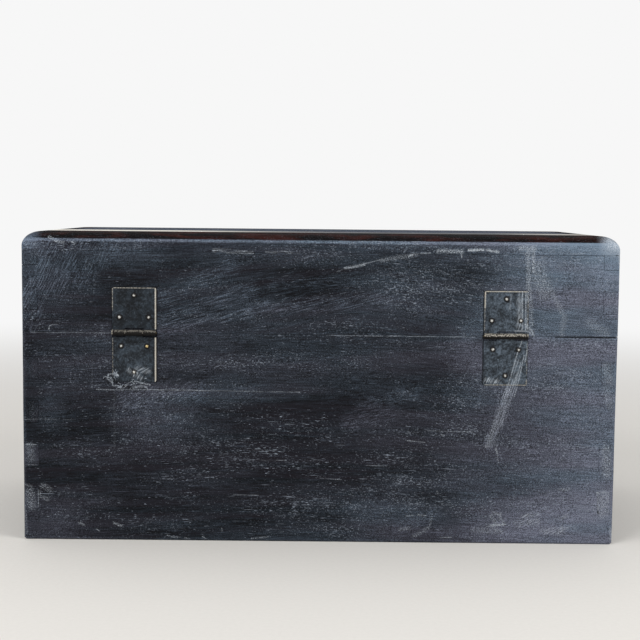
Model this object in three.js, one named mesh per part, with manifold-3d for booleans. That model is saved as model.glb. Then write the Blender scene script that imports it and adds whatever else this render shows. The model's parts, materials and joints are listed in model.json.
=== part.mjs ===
import * as THREE from "three";
import { mergeVertices } from "three/addons/utils/BufferGeometryUtils.js";
import Module from "manifold-3d";

// A small hinged chest of dark hardwood, shut. Its corners are finger-jointed, its floor sits in a groove,
// and its lid hangs on two brass butt hinges let into the back. A swing hook on the front holds it shut.
// Sizes are in millimetres. X runs along the chest, Y from its front to its hinged back, and Z up.
// The origin is on the floor, under the middle of the chest.

// Case and lid
const chestWidth = 380;
const chestDepth = 186;
const caseHeight = 134.5;
const lidHeight = 63.5;
const seamGap = 0.5; // between the rim of the case and the rim of the lid
const wallThickness = 10;
const topThickness = 12;
const glueLine = 0.2; // between two boards that are joined
const cornerRadius = 2; // of the upright corners
const topRound = 9; // round-over along the top edges of the lid
const topCornerRadius = 7; // of the top's corners in plan, where the round-over ends
const footEase = 1.2; // chamfer round the foot

// Finger joints
const fingerHeight = 14.1;
const caseFirstFinger = 15.8; // the finger next to the rim of the case
const lidFirstFinger = 14.1;
const leastFingerShare = 0.5; // of a finger's height, for the one that is left over

// Floor board, in a groove that stops short of the corners
const floorThickness = 8;
const floorLift = 6; // its underside above the foot
const grooveDepth = 4;
const floorPlay = 0.6; // room for the board to swell, at each edge

// Butt hinges
const hingeInset = 57.6; // from the end of the chest to the hinge
const hingeWidth = 28;
const lidLeafHeight = 28.8; // from the pin's axis
const caseLeafHeight = 31.6;
const sheetThickness = 0.9;
const sheetProud = 0.2; // the leaf's face in front of the wood
const leafCornerRadius = 1.2;
const pinRadius = 0.85;
const pinClearance = 0.1;
const pinProud = 0.4; // the domed end of the pin beyond the barrel
const centreKnuckle = 11.2;
const knuckleGap = 0.2;
const rollSlit = 0.25; // where the rolled sheet comes back to its leaf
const notchReach = 3; // from the pin's axis to the edge of a notch
const mortiseGap = 0.3; // round a leaf
const mortiseFloorGap = 0.15; // under a leaf

// Nails of the hinges: across and away from the pin's axis
const lidPairSpread = 9.3;
const lidPairRise = 9.9;
const lidApexRise = 23.8;
const casePairSpread = 8.2;
const casePairDrop = 8.6;
const caseApexDrop = 25.2;
const nailHeadRadius = 1.5;
const nailHeadHeight = 0.75;
const nailSeatGap = 0.05; // under the head
const nailShankRadius = 0.7;
const nailLength = 8;
const nailTip = 2;
const nailHoleGap = 0.2;

// Swing hook, its pivot on the case and its stud on the lid
const hookReach = 22; // from the pivot to the stud
const hookLean = 6; // degrees past upright when it is hooked, so that its weight keeps it there
const hookThickness = 1.2;
const hookEyeRadius = 3.1;
const hookShankWidth = 2.6;
const hookArmWidth = 2.2;
const hookArmTip = 2.6; // how far the arm passes the stud
const throatMouth = 60; // degrees below the arm's way in, where the shank turns into the throat
const throatClearance = 0.4;
const pivotRadius = 1.05;
const pivotClearance = 0.15;
const studNeckRadius = 1.1;
const latchHeadRadius = 2.2;
const latchHeadHeight = 0.9;
const latchShankRadius = 0.9;
const latchShankLength = 7;
const latchTip = 2;
const latchHoleGap = 0.2;
const washerRadius = 3.4;
const washerThickness = 0.6;
const latchGap = 0.1; // between the wood, the washer, the hook and the head

// How finely curves are drawn, and how far a cut runs past what it cuts
const cornerSteps = 5;
const roundSteps = 7;
const rollSteps = 14;
const nailSides = 12;
const holeSides = 10;
const arcSteps = 12;
const domeSteps = 3;
const mergeTolerance = 1e-4; // corners nearer than this are one corner
const overrun = 2;

const wasm = await Module();
wasm.setup();

// Materials
const darkWood = new THREE.MeshStandardMaterial({ color: 0x2b2c33, roughness: 0.62, metalness: 0 });
const innerWood = new THREE.MeshStandardMaterial({ color: 0x4a332a, roughness: 0.7, metalness: 0 });
const dullBrass = new THREE.MeshStandardMaterial({ color: 0x3a3d40, roughness: 0.5, metalness: 0.8 });
const wornBrass = new THREE.MeshStandardMaterial({ color: 0x8c7a55, roughness: 0.4, metalness: 0.9 });

// A closed geometry as a solid that can be joined and cut
function solidOf(geometry) {
  const bare = geometry.clone();
  for (const name of ["normal", "uv"]) bare.deleteAttribute(name);
  const merged = mergeVertices(bare, mergeTolerance);
  const index = merged.index.array;
  const kept = [];
  for (let i = 0; i < index.length; i += 3) {
    const [a, b, c] = index.subarray(i, i + 3);
    if (a !== b && b !== c && c !== a) kept.push(a, b, c);
  }
  const vertProperties = merged.attributes.position.array;
  return new wasm.Manifold(new wasm.Mesh({ numProp: 3, vertProperties, triVerts: new Uint32Array(kept) }));
}

function geometryOf(solid) {
  const { vertProperties, triVerts } = solid.getMesh();
  const geometry = new THREE.BufferGeometry();
  geometry.setAttribute("position", new THREE.BufferAttribute(vertProperties, 3));
  geometry.setIndex(new THREE.BufferAttribute(triVerts, 1));
  geometry.computeVertexNormals();
  return geometry;
}

const axisX = new THREE.Vector3(1, 0, 0);
const axisY = new THREE.Vector3(0, 1, 0);
const axisZ = new THREE.Vector3(0, 0, 1);

// A shape drawn in X and Z, made solid from y = low to y = high
function slabAlongY(shape, low, high, steps = arcSteps) {
  const options = { depth: high - low, bevelEnabled: false, curveSegments: steps };
  const geometry = new THREE.ExtrudeGeometry(shape, options);
  geometry.applyMatrix4(new THREE.Matrix4().makeBasis(axisX, axisZ, axisY.clone().negate()));
  return geometry.translate(0, high, 0);
}

// A shape drawn in Y and Z, made solid from x = low to x = high
function slabAlongX(shape, low, high, steps = arcSteps) {
  const options = { depth: high - low, bevelEnabled: false, curveSegments: steps };
  const geometry = new THREE.ExtrudeGeometry(shape, options);
  geometry.applyMatrix4(new THREE.Matrix4().makeBasis(axisY, axisZ, axisX));
  return geometry.translate(low, 0, 0);
}

// A block between levels of height z, each a rectangle with round corners
function loftedBlock(levels) {
  const positions = [];
  const ringSize = 4 * (cornerSteps + 1);
  for (const { z, width, depth, radius } of levels) {
    for (let corner = 0; corner < 4; corner += 1) {
      const side = corner === 0 || corner === 3 ? 1 : -1;
      const front = corner < 2 ? 1 : -1;
      for (let step = 0; step <= cornerSteps; step += 1) {
        const angle = (Math.PI / 2) * (corner + step / cornerSteps);
        const x = side * (width / 2 - radius) + radius * Math.cos(angle);
        const y = front * (depth / 2 - radius) + radius * Math.sin(angle);
        positions.push(x, y, z);
      }
    }
  }
  const index = [];
  for (let level = 0; level + 1 < levels.length; level += 1) {
    for (let i = 0; i < ringSize; i += 1) {
      const a = level * ringSize + i;
      const b = level * ringSize + ((i + 1) % ringSize);
      index.push(a, b, b + ringSize, a, b + ringSize, a + ringSize);
    }
  }
  const last = (levels.length - 1) * ringSize;
  for (let i = 1; i + 1 < ringSize; i += 1) {
    index.push(0, i + 1, i, last, last + i, last + i + 1);
  }
  const geometry = new THREE.BufferGeometry();
  geometry.setAttribute("position", new THREE.Float32BufferAttribute(positions, 3));
  geometry.setIndex(index);
  return geometry;
}

// Distances from the rim at which the fingers change hands
function fingerLines(height, firstFinger) {
  const lines = [];
  for (let at = firstFinger; height - at >= fingerHeight * leastFingerShare; at += fingerHeight) {
    lines.push(at);
  }
  return lines;
}

// A board with fingers at both ends, rimZ the height of its rim and away the way from there to its other edge.
// The boards along the chest own the even fingers, and the boards across it the odd ones.
function fingeredShape(length, height, lines, owned, rimZ, away) {
  const reach = length / 2;
  const shoulder = reach - wallThickness - glueLine;
  const edges = [0, ...lines, height];
  const end = [];
  for (let i = 0; i + 1 < edges.length; i += 1) {
    const isFinger = i % 2 === owned;
    const inset = isFinger ? glueLine / 2 : -glueLine / 2;
    const from = i === 0 ? 0 : edges[i] + inset;
    const to = i + 2 === edges.length ? height : edges[i + 1] - inset;
    const along = isFinger ? reach : shoulder;
    end.push([along, from], [along, to]);
  }
  const points = [...end, ...end.toReversed().map(([along, v]) => [-along, v])];
  return new THREE.Shape(points.map(([along, v]) => new THREE.Vector2(along, rimZ + away * v)));
}

// Where the hinges are, and the frame that each is modelled in: its origin on the pin's axis
const rollInner = pinRadius + pinClearance;
const rollOuter = rollInner + sheetThickness;
const hingeX = chestWidth / 2 - hingeInset - hingeWidth / 2;
const hingeY = chestDepth / 2 + sheetProud + rollInner;
const hingeAbove = seamGap / 2; // the axis above the rim of the case
const mortiseDepth = sheetThickness - sheetProud + mortiseFloorGap;

const lidNails = [[0, lidApexRise], [lidPairSpread, lidPairRise], [-lidPairSpread, lidPairRise]];
const caseNails = [[0, caseApexDrop], [casePairSpread, casePairDrop], [-casePairSpread, casePairDrop]];

// Plan of a leaf that rises from near to far, with its far corners rounded
function leafPlan(near, far, halfWidth, radius) {
  const plan = new THREE.Shape();
  plan.moveTo(-halfWidth, near);
  plan.lineTo(halfWidth, near);
  plan.absarc(halfWidth - radius, far - radius, radius, 0, Math.PI / 2);
  plan.absarc(-halfWidth + radius, far - radius, radius, Math.PI / 2, Math.PI);
  return plan;
}

// The section of a knuckle: the sheet comes down behind the pin and is rolled round it, almost back to itself
function knuckleSection() {
  const rollEnd = 2 * Math.PI + Math.acos((rollSlit - rollInner) / rollOuter);
  const top = notchReach + overrun;
  const section = new THREE.Shape();
  section.moveTo(-rollInner, top);
  section.lineTo(-rollOuter, top);
  section.absarc(0, 0, rollOuter, Math.PI, rollEnd);
  section.absarc(0, 0, rollInner, rollEnd, Math.PI, true);
  return section;
}

// A leaf that rises from the pin, with knuckles between the given stretches of X
function hingeLeaf(height, knuckles, nails) {
  const plan = leafPlan(notchReach, height, hingeWidth / 2, leafCornerRadius);
  for (const [x, rise] of nails) {
    plan.holes.push(new THREE.Path().absarc(x, rise, nailShankRadius + nailHoleGap, 0, 2 * Math.PI, true));
  }
  let leaf = solidOf(slabAlongY(plan, -rollOuter, -rollInner, holeSides));
  for (const [low, high] of knuckles) {
    leaf = leaf.add(solidOf(slabAlongX(knuckleSection(), low, high, rollSteps)));
  }
  return geometryOf(leaf);
}

// The pocket that a leaf and its nails are let into, in the hinge's own frame
function leafPocket(height, nails) {
  const halfWidth = hingeWidth / 2 + mortiseGap;
  const plan = leafPlan(-overrun, height + mortiseGap, halfWidth, leafCornerRadius + mortiseGap);
  const face = -sheetProud - rollInner;
  const bottom = face - mortiseDepth;
  let pocket = solidOf(slabAlongY(plan, bottom, face + overrun));
  const depth = nailLength + nailHoleGap - mortiseDepth + overrun;
  for (const [x, rise] of nails) {
    const radius = nailShankRadius + nailHoleGap;
    const hole = new THREE.CylinderGeometry(radius, radius, depth, holeSides);
    hole.translate(x, bottom + overrun - depth / 2, rise);
    pocket = pocket.add(solidOf(hole));
  }
  return pocket;
}

// A domed head on a pointed shank that points along -Y, from a list of [radius, y] below the head
function domedPin(below, headRadius, headHeight, sides) {
  const points = below.map(([radius, y]) => new THREE.Vector2(radius, y));
  for (let step = 0; step <= domeSteps; step += 1) {
    const angle = (Math.PI / 2) * (step / domeSteps);
    const isTop = step === domeSteps;
    points.push(new THREE.Vector2(isTop ? 0 : headRadius * Math.cos(angle), headHeight * Math.sin(angle)));
  }
  return new THREE.LatheGeometry(points, sides);
}

function nailGeometry() {
  const below = [[0, -nailLength], [nailShankRadius, nailTip - nailLength], [nailShankRadius, 0]];
  return domedPin(below, nailHeadRadius, nailHeadHeight, nailSides);
}

function add(parent, name, geometry, material, position = [0, 0, 0]) {
  const mesh = new THREE.Mesh(geometry, material);
  mesh.name = name;
  mesh.position.set(...position);
  parent.add(mesh);
  return mesh;
}

const chest = new THREE.Group();
const lid = new THREE.Group();
lid.position.z = caseHeight + seamGap;
chest.add(lid);

// Case: four walls between the floor and the rim, trimmed to the case's own rounded outline
function buildCase() {
  const full = { width: chestWidth, depth: chestDepth, radius: cornerRadius };
  const eased = { width: chestWidth - 2 * footEase, depth: chestDepth - 2 * footEase, radius: cornerRadius - footEase };
  const outline = solidOf(loftedBlock([{ z: 0, ...eased }, { z: footEase, ...full }, { z: caseHeight, ...full }]));
  const grooveBox = new THREE.BoxGeometry(
    chestWidth - 2 * wallThickness + 2 * grooveDepth,
    chestDepth - 2 * wallThickness + 2 * grooveDepth,
    floorThickness + 2 * glueLine,
  );
  const groove = solidOf(grooveBox.translate(0, 0, floorLift + floorThickness / 2));
  const lines = fingerLines(caseHeight, caseFirstFinger);
  const longShape = fingeredShape(chestWidth, caseHeight, lines, 0, caseHeight, -1);
  const endShape = fingeredShape(chestDepth, caseHeight, lines, 1, caseHeight, -1);
  const face = chestDepth / 2;
  const longBoard = solidOf(slabAlongY(longShape, face - wallThickness, face)).intersect(outline).subtract(groove);
  const endSlab = slabAlongX(endShape, chestWidth / 2 - wallThickness, chestWidth / 2);
  const endBoard = solidOf(endSlab).intersect(outline).subtract(groove);

  let back = longBoard;
  for (const x of [-hingeX, hingeX]) {
    const pocket = leafPocket(caseLeafHeight, caseNails).rotate([0, 180, 0]);
    back = back.subtract(pocket.translate([x, hingeY, caseHeight + hingeAbove]));
  }
  let front = longBoard.rotate([0, 0, 180]);
  front = front.subtract(latchHole().translate([pivotX, 0, caseHeight + pivotAbove]));

  add(chest, "case_back_board", geometryOf(back), darkWood);
  add(chest, "case_front_board", geometryOf(front), darkWood);
  add(chest, "case_right_board", geometryOf(endBoard), darkWood);
  add(chest, "case_left_board", geometryOf(endBoard), darkWood).rotation.z = Math.PI;

  const floorWidth = chestWidth - 2 * wallThickness + 2 * grooveDepth - 2 * floorPlay;
  const floorDepth = chestDepth - 2 * wallThickness + 2 * grooveDepth - 2 * floorPlay;
  const floorBoard = new THREE.BoxGeometry(floorWidth, floorDepth, floorThickness);
  add(chest, "case_floor_board", floorBoard, innerWood, [0, 0, floorLift + floorThickness / 2]);
}

// Lid: four rails under a top board whose edges are rounded over. Its own frame starts at its rim.
function buildLid() {
  const full = { width: chestWidth, depth: chestDepth, radius: cornerRadius };
  const railHeight = lidHeight - topThickness;
  const outline = solidOf(loftedBlock([{ z: 0, ...full }, { z: railHeight, ...full }]));
  const lines = fingerLines(railHeight, lidFirstFinger);
  const longShape = fingeredShape(chestWidth, railHeight, lines, 0, 0, 1);
  const endShape = fingeredShape(chestDepth, railHeight, lines, 1, 0, 1);
  const face = chestDepth / 2;
  const longRail = solidOf(slabAlongY(longShape, face - wallThickness, face)).intersect(outline);
  const endSlab = slabAlongX(endShape, chestWidth / 2 - wallThickness, chestWidth / 2);
  const endRail = geometryOf(solidOf(endSlab).intersect(outline));

  let back = longRail;
  for (const x of [-hingeX, hingeX]) {
    back = back.subtract(leafPocket(lidLeafHeight, lidNails).translate([x, hingeY, -hingeAbove]));
  }
  const front = longRail.rotate([0, 0, 180]).subtract(latchHole().translate([studX, 0, studAbove]));

  add(lid, "lid_back_rail", geometryOf(back), darkWood);
  add(lid, "lid_front_rail", geometryOf(front), darkWood);
  add(lid, "lid_right_rail", endRail, darkWood);
  add(lid, "lid_left_rail", endRail, darkWood).rotation.z = Math.PI;

  const round = Math.min(topRound, topThickness - glueLine);
  const levels = [{ z: railHeight + glueLine, ...full }];
  for (let step = 0; step <= roundSteps; step += 1) {
    const angle = (Math.PI / 2) * (step / roundSteps);
    const inset = round * (1 - Math.cos(angle));
    const spread = (topCornerRadius - cornerRadius) * Math.sin(angle) ** 2;
    levels.push({
      z: lidHeight - round + round * Math.sin(angle),
      width: chestWidth - 2 * inset,
      depth: chestDepth - 2 * inset,
      radius: cornerRadius + spread,
    });
  }
  add(lid, "lid_top_board", loftedBlock(levels), darkWood);
}

// Hinges: each has a leaf on the lid with the two outer knuckles, a leaf on the case with the centre one, and a pin
function buildHinges() {
  const outer = [centreKnuckle / 2 + knuckleGap, hingeWidth / 2];
  const lidLeaf = hingeLeaf(lidLeafHeight, [outer, [-outer[1], -outer[0]]], lidNails);
  const caseLeaf = hingeLeaf(caseLeafHeight, [[-centreKnuckle / 2, centreKnuckle / 2]], caseNails);
  const pin = pinGeometry();
  const nail = nailGeometry();
  const nailY = -rollInner + nailSeatGap;
  for (const [side, x] of [["left", -hingeX], ["right", hingeX]]) {
    const onCase = new THREE.Group();
    const onLid = new THREE.Group();
    onCase.position.set(x, hingeY, caseHeight + hingeAbove);
    onLid.position.set(x, hingeY, -hingeAbove);
    chest.add(onCase);
    lid.add(onLid);
    add(onLid, `${side}_hinge_lid_leaf`, lidLeaf, dullBrass);
    add(onCase, `${side}_hinge_case_leaf`, caseLeaf, dullBrass).rotation.y = Math.PI;
    add(onCase, `${side}_hinge_pin`, pin, wornBrass);
    lidNails.forEach(([nailX, rise], i) => {
      add(onLid, `${side}_hinge_lid_nail_${i + 1}`, nail, wornBrass, [nailX, nailY, rise]);
    });
    caseNails.forEach(([nailX, drop], i) => {
      add(onCase, `${side}_hinge_case_nail_${i + 1}`, nail, wornBrass, [nailX, nailY, -drop]);
    });
  }
}

// A hinge pin with domed ends, along X
function pinGeometry() {
  const half = hingeWidth / 2;
  const profile = [new THREE.Vector2(0, -half - pinProud)];
  for (let step = 1; step <= domeSteps; step += 1) {
    const angle = (Math.PI / 2) * (step / domeSteps);
    profile.push(new THREE.Vector2(pinRadius * Math.sin(angle), -half - pinProud * Math.cos(angle)));
  }
  const upper = profile.toReversed().map((point) => new THREE.Vector2(point.x, -point.y));
  return new THREE.LatheGeometry([...profile, ...upper], nailSides).rotateZ(-Math.PI / 2);
}

// Swing hook. Its parts stand on the front face, washer first, then the hook, then the head of the pin.
const lean = THREE.MathUtils.degToRad(hookLean);
const studOffsetX = hookReach * Math.sin(lean);
const studOffsetZ = hookReach * Math.cos(lean);
const pivotX = -studOffsetX / 2;
const studX = studOffsetX / 2;
const pivotAbove = seamGap / 2 - studOffsetZ / 2; // from the rim of the case
const studAbove = studOffsetZ / 2 - seamGap / 2; // from the rim of the lid
const washerTop = latchGap + washerThickness;
const hookBack = washerTop + latchGap;
const headSeat = hookBack + hookThickness + latchGap;

function latchHole() {
  const radius = latchShankRadius + latchHoleGap;
  const depth = latchShankLength + latchHoleGap + overrun;
  const hole = new THREE.CylinderGeometry(radius, radius, depth, holeSides);
  return solidOf(hole.translate(0, -chestDepth / 2 - overrun + depth / 2, 0));
}

// A domed pin for the front: its shank in the wood, its collar and neck in front of the wood
function latchPin(neckRadius, collar) {
  const shank = [
    [0, -headSeat - latchShankLength],
    [latchShankRadius, latchTip - headSeat - latchShankLength],
    [latchShankRadius, latchGap - headSeat],
  ];
  const flange = collar ? [[latchHeadRadius, latchGap - headSeat], [latchHeadRadius, washerTop - headSeat]] : [];
  const foot = collar ? washerTop : latchGap;
  const neck = [[neckRadius, foot - headSeat], [neckRadius, 0]];
  const pin = domedPin([...shank, ...flange, ...neck], latchHeadRadius, latchHeadHeight, nailSides);
  return pin.rotateX(Math.PI);
}

// The hook, drawn with V from the pivot to the stud and U towards the side that meets the stud first
function hookShape() {
  const throat = studNeckRadius + throatClearance;
  const half = hookShankWidth / 2;
  const armInner = hookReach + throat;
  const armOuter = armInner + hookArmWidth;
  const armMiddle = (armInner + armOuter) / 2;
  const cheek = throat + hookArmWidth;
  const mouth = -THREE.MathUtils.degToRad(throatMouth);
  const tipTurn = Math.asin(hookArmTip / armMiddle);
  const shape = new THREE.Shape();
  shape.moveTo(half, 0);
  shape.lineTo(half, hookReach - throat - half);
  shape.lineTo(throat * Math.cos(mouth), hookReach + throat * Math.sin(mouth));
  shape.absarc(0, hookReach, throat, mouth, -1.5 * Math.PI, true);
  shape.absarc(0, 0, armInner, Math.PI / 2, Math.PI / 2 - tipTurn, true);
  const tipX = armMiddle * Math.sin(tipTurn);
  const tipY = armMiddle * Math.cos(tipTurn);
  shape.absarc(tipX, tipY, hookArmWidth / 2, -Math.PI / 2 - tipTurn, Math.PI / 2 - tipTurn);
  shape.lineTo(0, armOuter);
  shape.absarc(0, hookReach, cheek, Math.PI / 2, Math.PI);
  shape.quadraticCurveTo(-cheek, hookReach - cheek, -half, hookReach - 2 * cheek);
  shape.lineTo(-half, 0);
  return shape;
}

function buildLatch() {
  const face = -chestDepth / 2;
  const pivotZ = caseHeight + pivotAbove;
  const hook = solidOf(slabAlongY(hookShape(), -hookThickness / 2, hookThickness / 2));
  const eye = new THREE.CylinderGeometry(hookEyeRadius, hookEyeRadius, hookThickness, 2 * nailSides);
  const boreRadius = pivotRadius + pivotClearance;
  const bore = new THREE.CylinderGeometry(boreRadius, boreRadius, hookThickness + 2 * overrun, nailSides);
  const whole = hook.add(solidOf(eye)).subtract(solidOf(bore)).rotate([0, 180, 0]);
  const hookY = face - hookBack - hookThickness / 2;
  add(chest, "latch_hook", geometryOf(whole), wornBrass, [pivotX, hookY, pivotZ]);

  const disc = new THREE.CylinderGeometry(washerRadius, washerRadius, washerThickness, 2 * nailSides);
  const washer = solidOf(disc).subtract(solidOf(bore));
  const washerY = face - latchGap - washerThickness / 2;
  add(chest, "latch_washer", geometryOf(washer), dullBrass, [pivotX, washerY, pivotZ]);

  const headY = face - headSeat;
  add(chest, "latch_pivot_pin", latchPin(pivotRadius, false), wornBrass, [pivotX, headY, pivotZ]);
  add(lid, "latch_stud", latchPin(studNeckRadius, true), wornBrass, [studX, headY, studAbove]);
}

buildCase();
buildLid();
buildHinges();
buildLatch();

export default chest;
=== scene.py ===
import json
import math
import random

import bmesh
import bpy
from mathutils import Euler, Matrix, Vector, noise


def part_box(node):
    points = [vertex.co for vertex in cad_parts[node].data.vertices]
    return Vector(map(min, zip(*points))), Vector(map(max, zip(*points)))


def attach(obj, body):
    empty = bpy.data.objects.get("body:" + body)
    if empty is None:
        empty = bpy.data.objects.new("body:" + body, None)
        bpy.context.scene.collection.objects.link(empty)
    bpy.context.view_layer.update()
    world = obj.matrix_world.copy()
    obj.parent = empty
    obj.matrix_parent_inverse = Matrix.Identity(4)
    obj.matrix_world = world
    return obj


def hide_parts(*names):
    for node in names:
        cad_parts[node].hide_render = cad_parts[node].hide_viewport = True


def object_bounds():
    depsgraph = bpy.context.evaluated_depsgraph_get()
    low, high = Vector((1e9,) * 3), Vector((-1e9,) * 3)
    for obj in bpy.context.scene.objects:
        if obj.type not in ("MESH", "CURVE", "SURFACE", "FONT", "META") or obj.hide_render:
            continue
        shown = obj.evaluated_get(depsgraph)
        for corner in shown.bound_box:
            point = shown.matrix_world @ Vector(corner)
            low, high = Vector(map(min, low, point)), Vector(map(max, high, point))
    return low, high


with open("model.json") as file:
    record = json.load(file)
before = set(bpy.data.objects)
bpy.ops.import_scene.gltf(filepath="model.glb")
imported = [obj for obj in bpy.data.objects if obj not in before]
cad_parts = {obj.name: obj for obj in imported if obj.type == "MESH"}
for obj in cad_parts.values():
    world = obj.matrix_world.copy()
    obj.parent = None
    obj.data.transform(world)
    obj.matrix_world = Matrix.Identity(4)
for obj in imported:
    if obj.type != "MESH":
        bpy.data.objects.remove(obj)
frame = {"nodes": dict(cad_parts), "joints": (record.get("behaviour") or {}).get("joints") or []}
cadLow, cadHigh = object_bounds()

# A small hinged chest of black-stained rosewood, seen from its hinged back.
# Metres throughout, except inside the patterns, which count in millimetres.
# X runs along the chest, +Y is its hinged back and Z is up.
mm = 0.001
nodes = frame["nodes"]
joints = {joint["name"]: joint for joint in frame["joints"]}
caseHigh, topHigh = [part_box(node)[1] for node in ("case_back_board", "lid_top_board")]
halfWidth, backFace, topZ = caseHigh.x / mm, topHigh.y / mm, topHigh.z / mm
rimZ, lidRimZ = caseHigh.z / mm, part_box("lid_back_rail")[0].z / mm
axisZ = joints["lid_hinge"]["pos_m"][2] / mm
print("frame loaded:", len(nodes), "solids")


# Helpers

def linear(hexColour):
    channels = []
    for start in (0, 2, 4):
        value = int(hexColour.lstrip("#")[start:start + 2], 16) / 255
        channels.append(value / 12.92 if value <= 0.04045 else ((value + 0.055) / 1.055) ** 2.4)
    return (*channels, 1.0)


class Value:
    # an output in a node tree, which can be reckoned with like a number
    def __init__(self, socket):
        self.socket = socket
        self.tree = socket.id_data

    def __add__(self, more):
        return reckoned("ADD", self, more)

    def __radd__(self, start):
        return reckoned("ADD", start, self)

    def __sub__(self, less):
        return reckoned("SUBTRACT", self, less)

    def __rsub__(self, start):
        return reckoned("SUBTRACT", start, self)

    def __mul__(self, factor):
        return reckoned("MULTIPLY", self, factor)

    def __rmul__(self, start):
        return reckoned("MULTIPLY", start, self)

    def __truediv__(self, share):
        return reckoned("DIVIDE", self, share)

    def __gt__(self, bound):
        return reckoned("GREATER_THAN", self, bound)

    def __lt__(self, bound):
        return reckoned("LESS_THAN", self, bound)

    def __abs__(self):
        return reckoned("ABSOLUTE", self)

    def other(self, output):
        return Value(self.socket.node.outputs[output])


def fed(node, links):
    # links maps a socket's name or number to a value of the tree or a plain one
    for socket, source in links.items():
        if isinstance(source, Value):
            source.tree.links.new(source.socket, node.inputs[socket])
        else:
            node.inputs[socket].default_value = source
    return node


def addNode(tree, kind, links=None, **settings):
    node = tree.nodes.new(kind)
    for name, value in settings.items():
        setattr(node, name, value)
    return fed(node, links or {})


def beside(links, kind, **settings):
    # a node in the tree that its sources are in
    tree = next(source.tree for source in links.values() if isinstance(source, Value))
    return addNode(tree, kind, links, **settings)


def derived(kind, links, output=0, **settings):
    return Value(beside(links, kind, **settings).outputs[output])


def allOutputs(node):
    return {output.name: Value(output) for output in node.outputs}


def grouped(group, links):
    return allOutputs(beside(links, "ShaderNodeGroup", node_tree=group))


def reckoned(operation, *values, **settings):
    return derived("ShaderNodeMath", dict(enumerate(values)), operation=operation, **settings)


def timesPlus(value, factor, more):
    return reckoned("MULTIPLY_ADD", value, factor, more)


def most(total, *values, operation="MAXIMUM"):
    for value in values:
        total = reckoned(operation, total, value)
    return total


def least(*values):
    return most(*values, operation="MINIMUM")


def vector(operation, first, second=None):
    links = {0: first}
    if second is not None:
        links[3 if operation == "SCALE" else 1] = second
    output = 1 if operation in ("LENGTH", "DISTANCE", "DOT_PRODUCT") else 0
    return derived("ShaderNodeVectorMath", links, output, operation=operation)


def split(point):
    return allOutputs(beside({0: point}, "ShaderNodeSeparateXYZ")).values()


def rotated(point, angle, axis):
    return derived("ShaderNodeVectorRotate", {"Vector": point, "Angle": angle}, rotation_type=axis + "_AXIS")


def clouds(point, scale=1.0, detail=2.0, roughness=0.5):
    return derived("ShaderNodeTexNoise", {"Vector": point, "Scale": scale, "Detail": detail,
                                          "Roughness": roughness})


def blended(share, first, second):
    return derived("ShaderNodeMix", {0: share, 6: first, 7: second}, 2, data_type="RGBA")


def ramp(value, low, high, atLow=0.0, atHigh=1.0, curve="LINEAR"):
    return derived("ShaderNodeMapRange", {0: value, 1: low, 2: high, 3: atLow, 4: atHigh},
                   interpolation_type=curve)


def faded(*amounts):
    return ramp(*amounts, curve="SMOOTHSTEP")


def bumped(height, strength, depth):
    return derived("ShaderNodeBump", {"Strength": strength, "Distance": depth * mm, "Height": height})


def newGroup(name, kind, inputs):
    # inputs: socket type, such as "Float", to socket names
    tree = bpy.data.node_groups.new(name, kind)
    for socketType, labels in inputs.items():
        for label in labels:
            tree.interface.new_socket(label, in_out="INPUT", socket_type="NodeSocket" + socketType)
    return tree, allOutputs(tree.nodes.new("NodeGroupInput"))


def closedGroup(tree, results, socketType="Float"):
    for label in results:
        tree.interface.new_socket(label, in_out="OUTPUT", socket_type="NodeSocket" + socketType)
    addNode(tree, "NodeGroupOutput", results)
    return tree


def newMaterial(name):
    # with its point in millimetres
    material = bpy.data.materials.new(name)
    material.use_nodes = True
    tree = material.node_tree
    tree.nodes.clear()
    shader = tree.nodes.new("ShaderNodeBsdfPrincipled")
    addNode(tree, "ShaderNodeOutputMaterial", {0: Value(shader.outputs[0])})
    where = allOutputs(tree.nodes.new("ShaderNodeTexCoord"))
    return material, shader, vector("SCALE", where["Object"], 1 / mm)


def shown(name, mesh):
    piece = bpy.data.objects.new(name, mesh)
    bpy.context.scene.collection.objects.link(piece)
    return piece


def shownWork(name, work):
    mesh = bpy.data.meshes.new(name)
    work.to_mesh(mesh)
    work.free()
    return shown(name, mesh)


def baked(piece):
    # a plain mesh of what the piece's modifiers make
    bpy.context.view_layer.update()
    mesh = bpy.data.meshes.new_from_object(piece.evaluated_get(bpy.context.evaluated_depsgraph_get()))
    piece.modifiers.clear()
    piece.data = mesh
    return piece


def bevelled(piece, width, **settings):
    bevel = piece.modifiers.new("softened edges", "BEVEL")
    bevel.width = width * mm
    bevel.segments = 2
    for name, value in settings.items():
        setattr(bevel, name, value)
    return baked(piece)


def smoothed(piece, degrees):
    piece.data.polygons.foreach_set("use_smooth", [True] * len(piece.data.polygons))
    piece.data.set_sharp_from_angle(angle=math.radians(degrees))
    piece.modifiers.new("even shading", "WEIGHTED_NORMAL").keep_sharp = True
    return baked(piece)


def mergedCopy(node):
    # a CAD node's triangles, joined up and freed of the edges that lie flat
    work = bmesh.new()
    work.from_mesh(nodes[node].data)
    bmesh.ops.remove_doubles(work, verts=work.verts, dist=1e-6)
    bmesh.ops.dissolve_limit(work, angle_limit=math.radians(0.5), verts=work.verts, edges=work.edges)
    return work


def finished(piece, material, body, slot, *replaced):
    piece.data.materials.clear()
    piece.data.materials.append(material)
    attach(piece, body)
    if replaced:
        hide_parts(*replaced)
    return piece


def held(value, low, high):
    return min(max(value, low), high)


# Camera, lamps and floor

view = {  # fitted to the chest's corners in the photograph
    "lens": 72.0,
    "place": (0.0001, 0.9044, 0.21605),
    "pitch": 5.075,
    "roll": 0.556,
}


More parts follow.
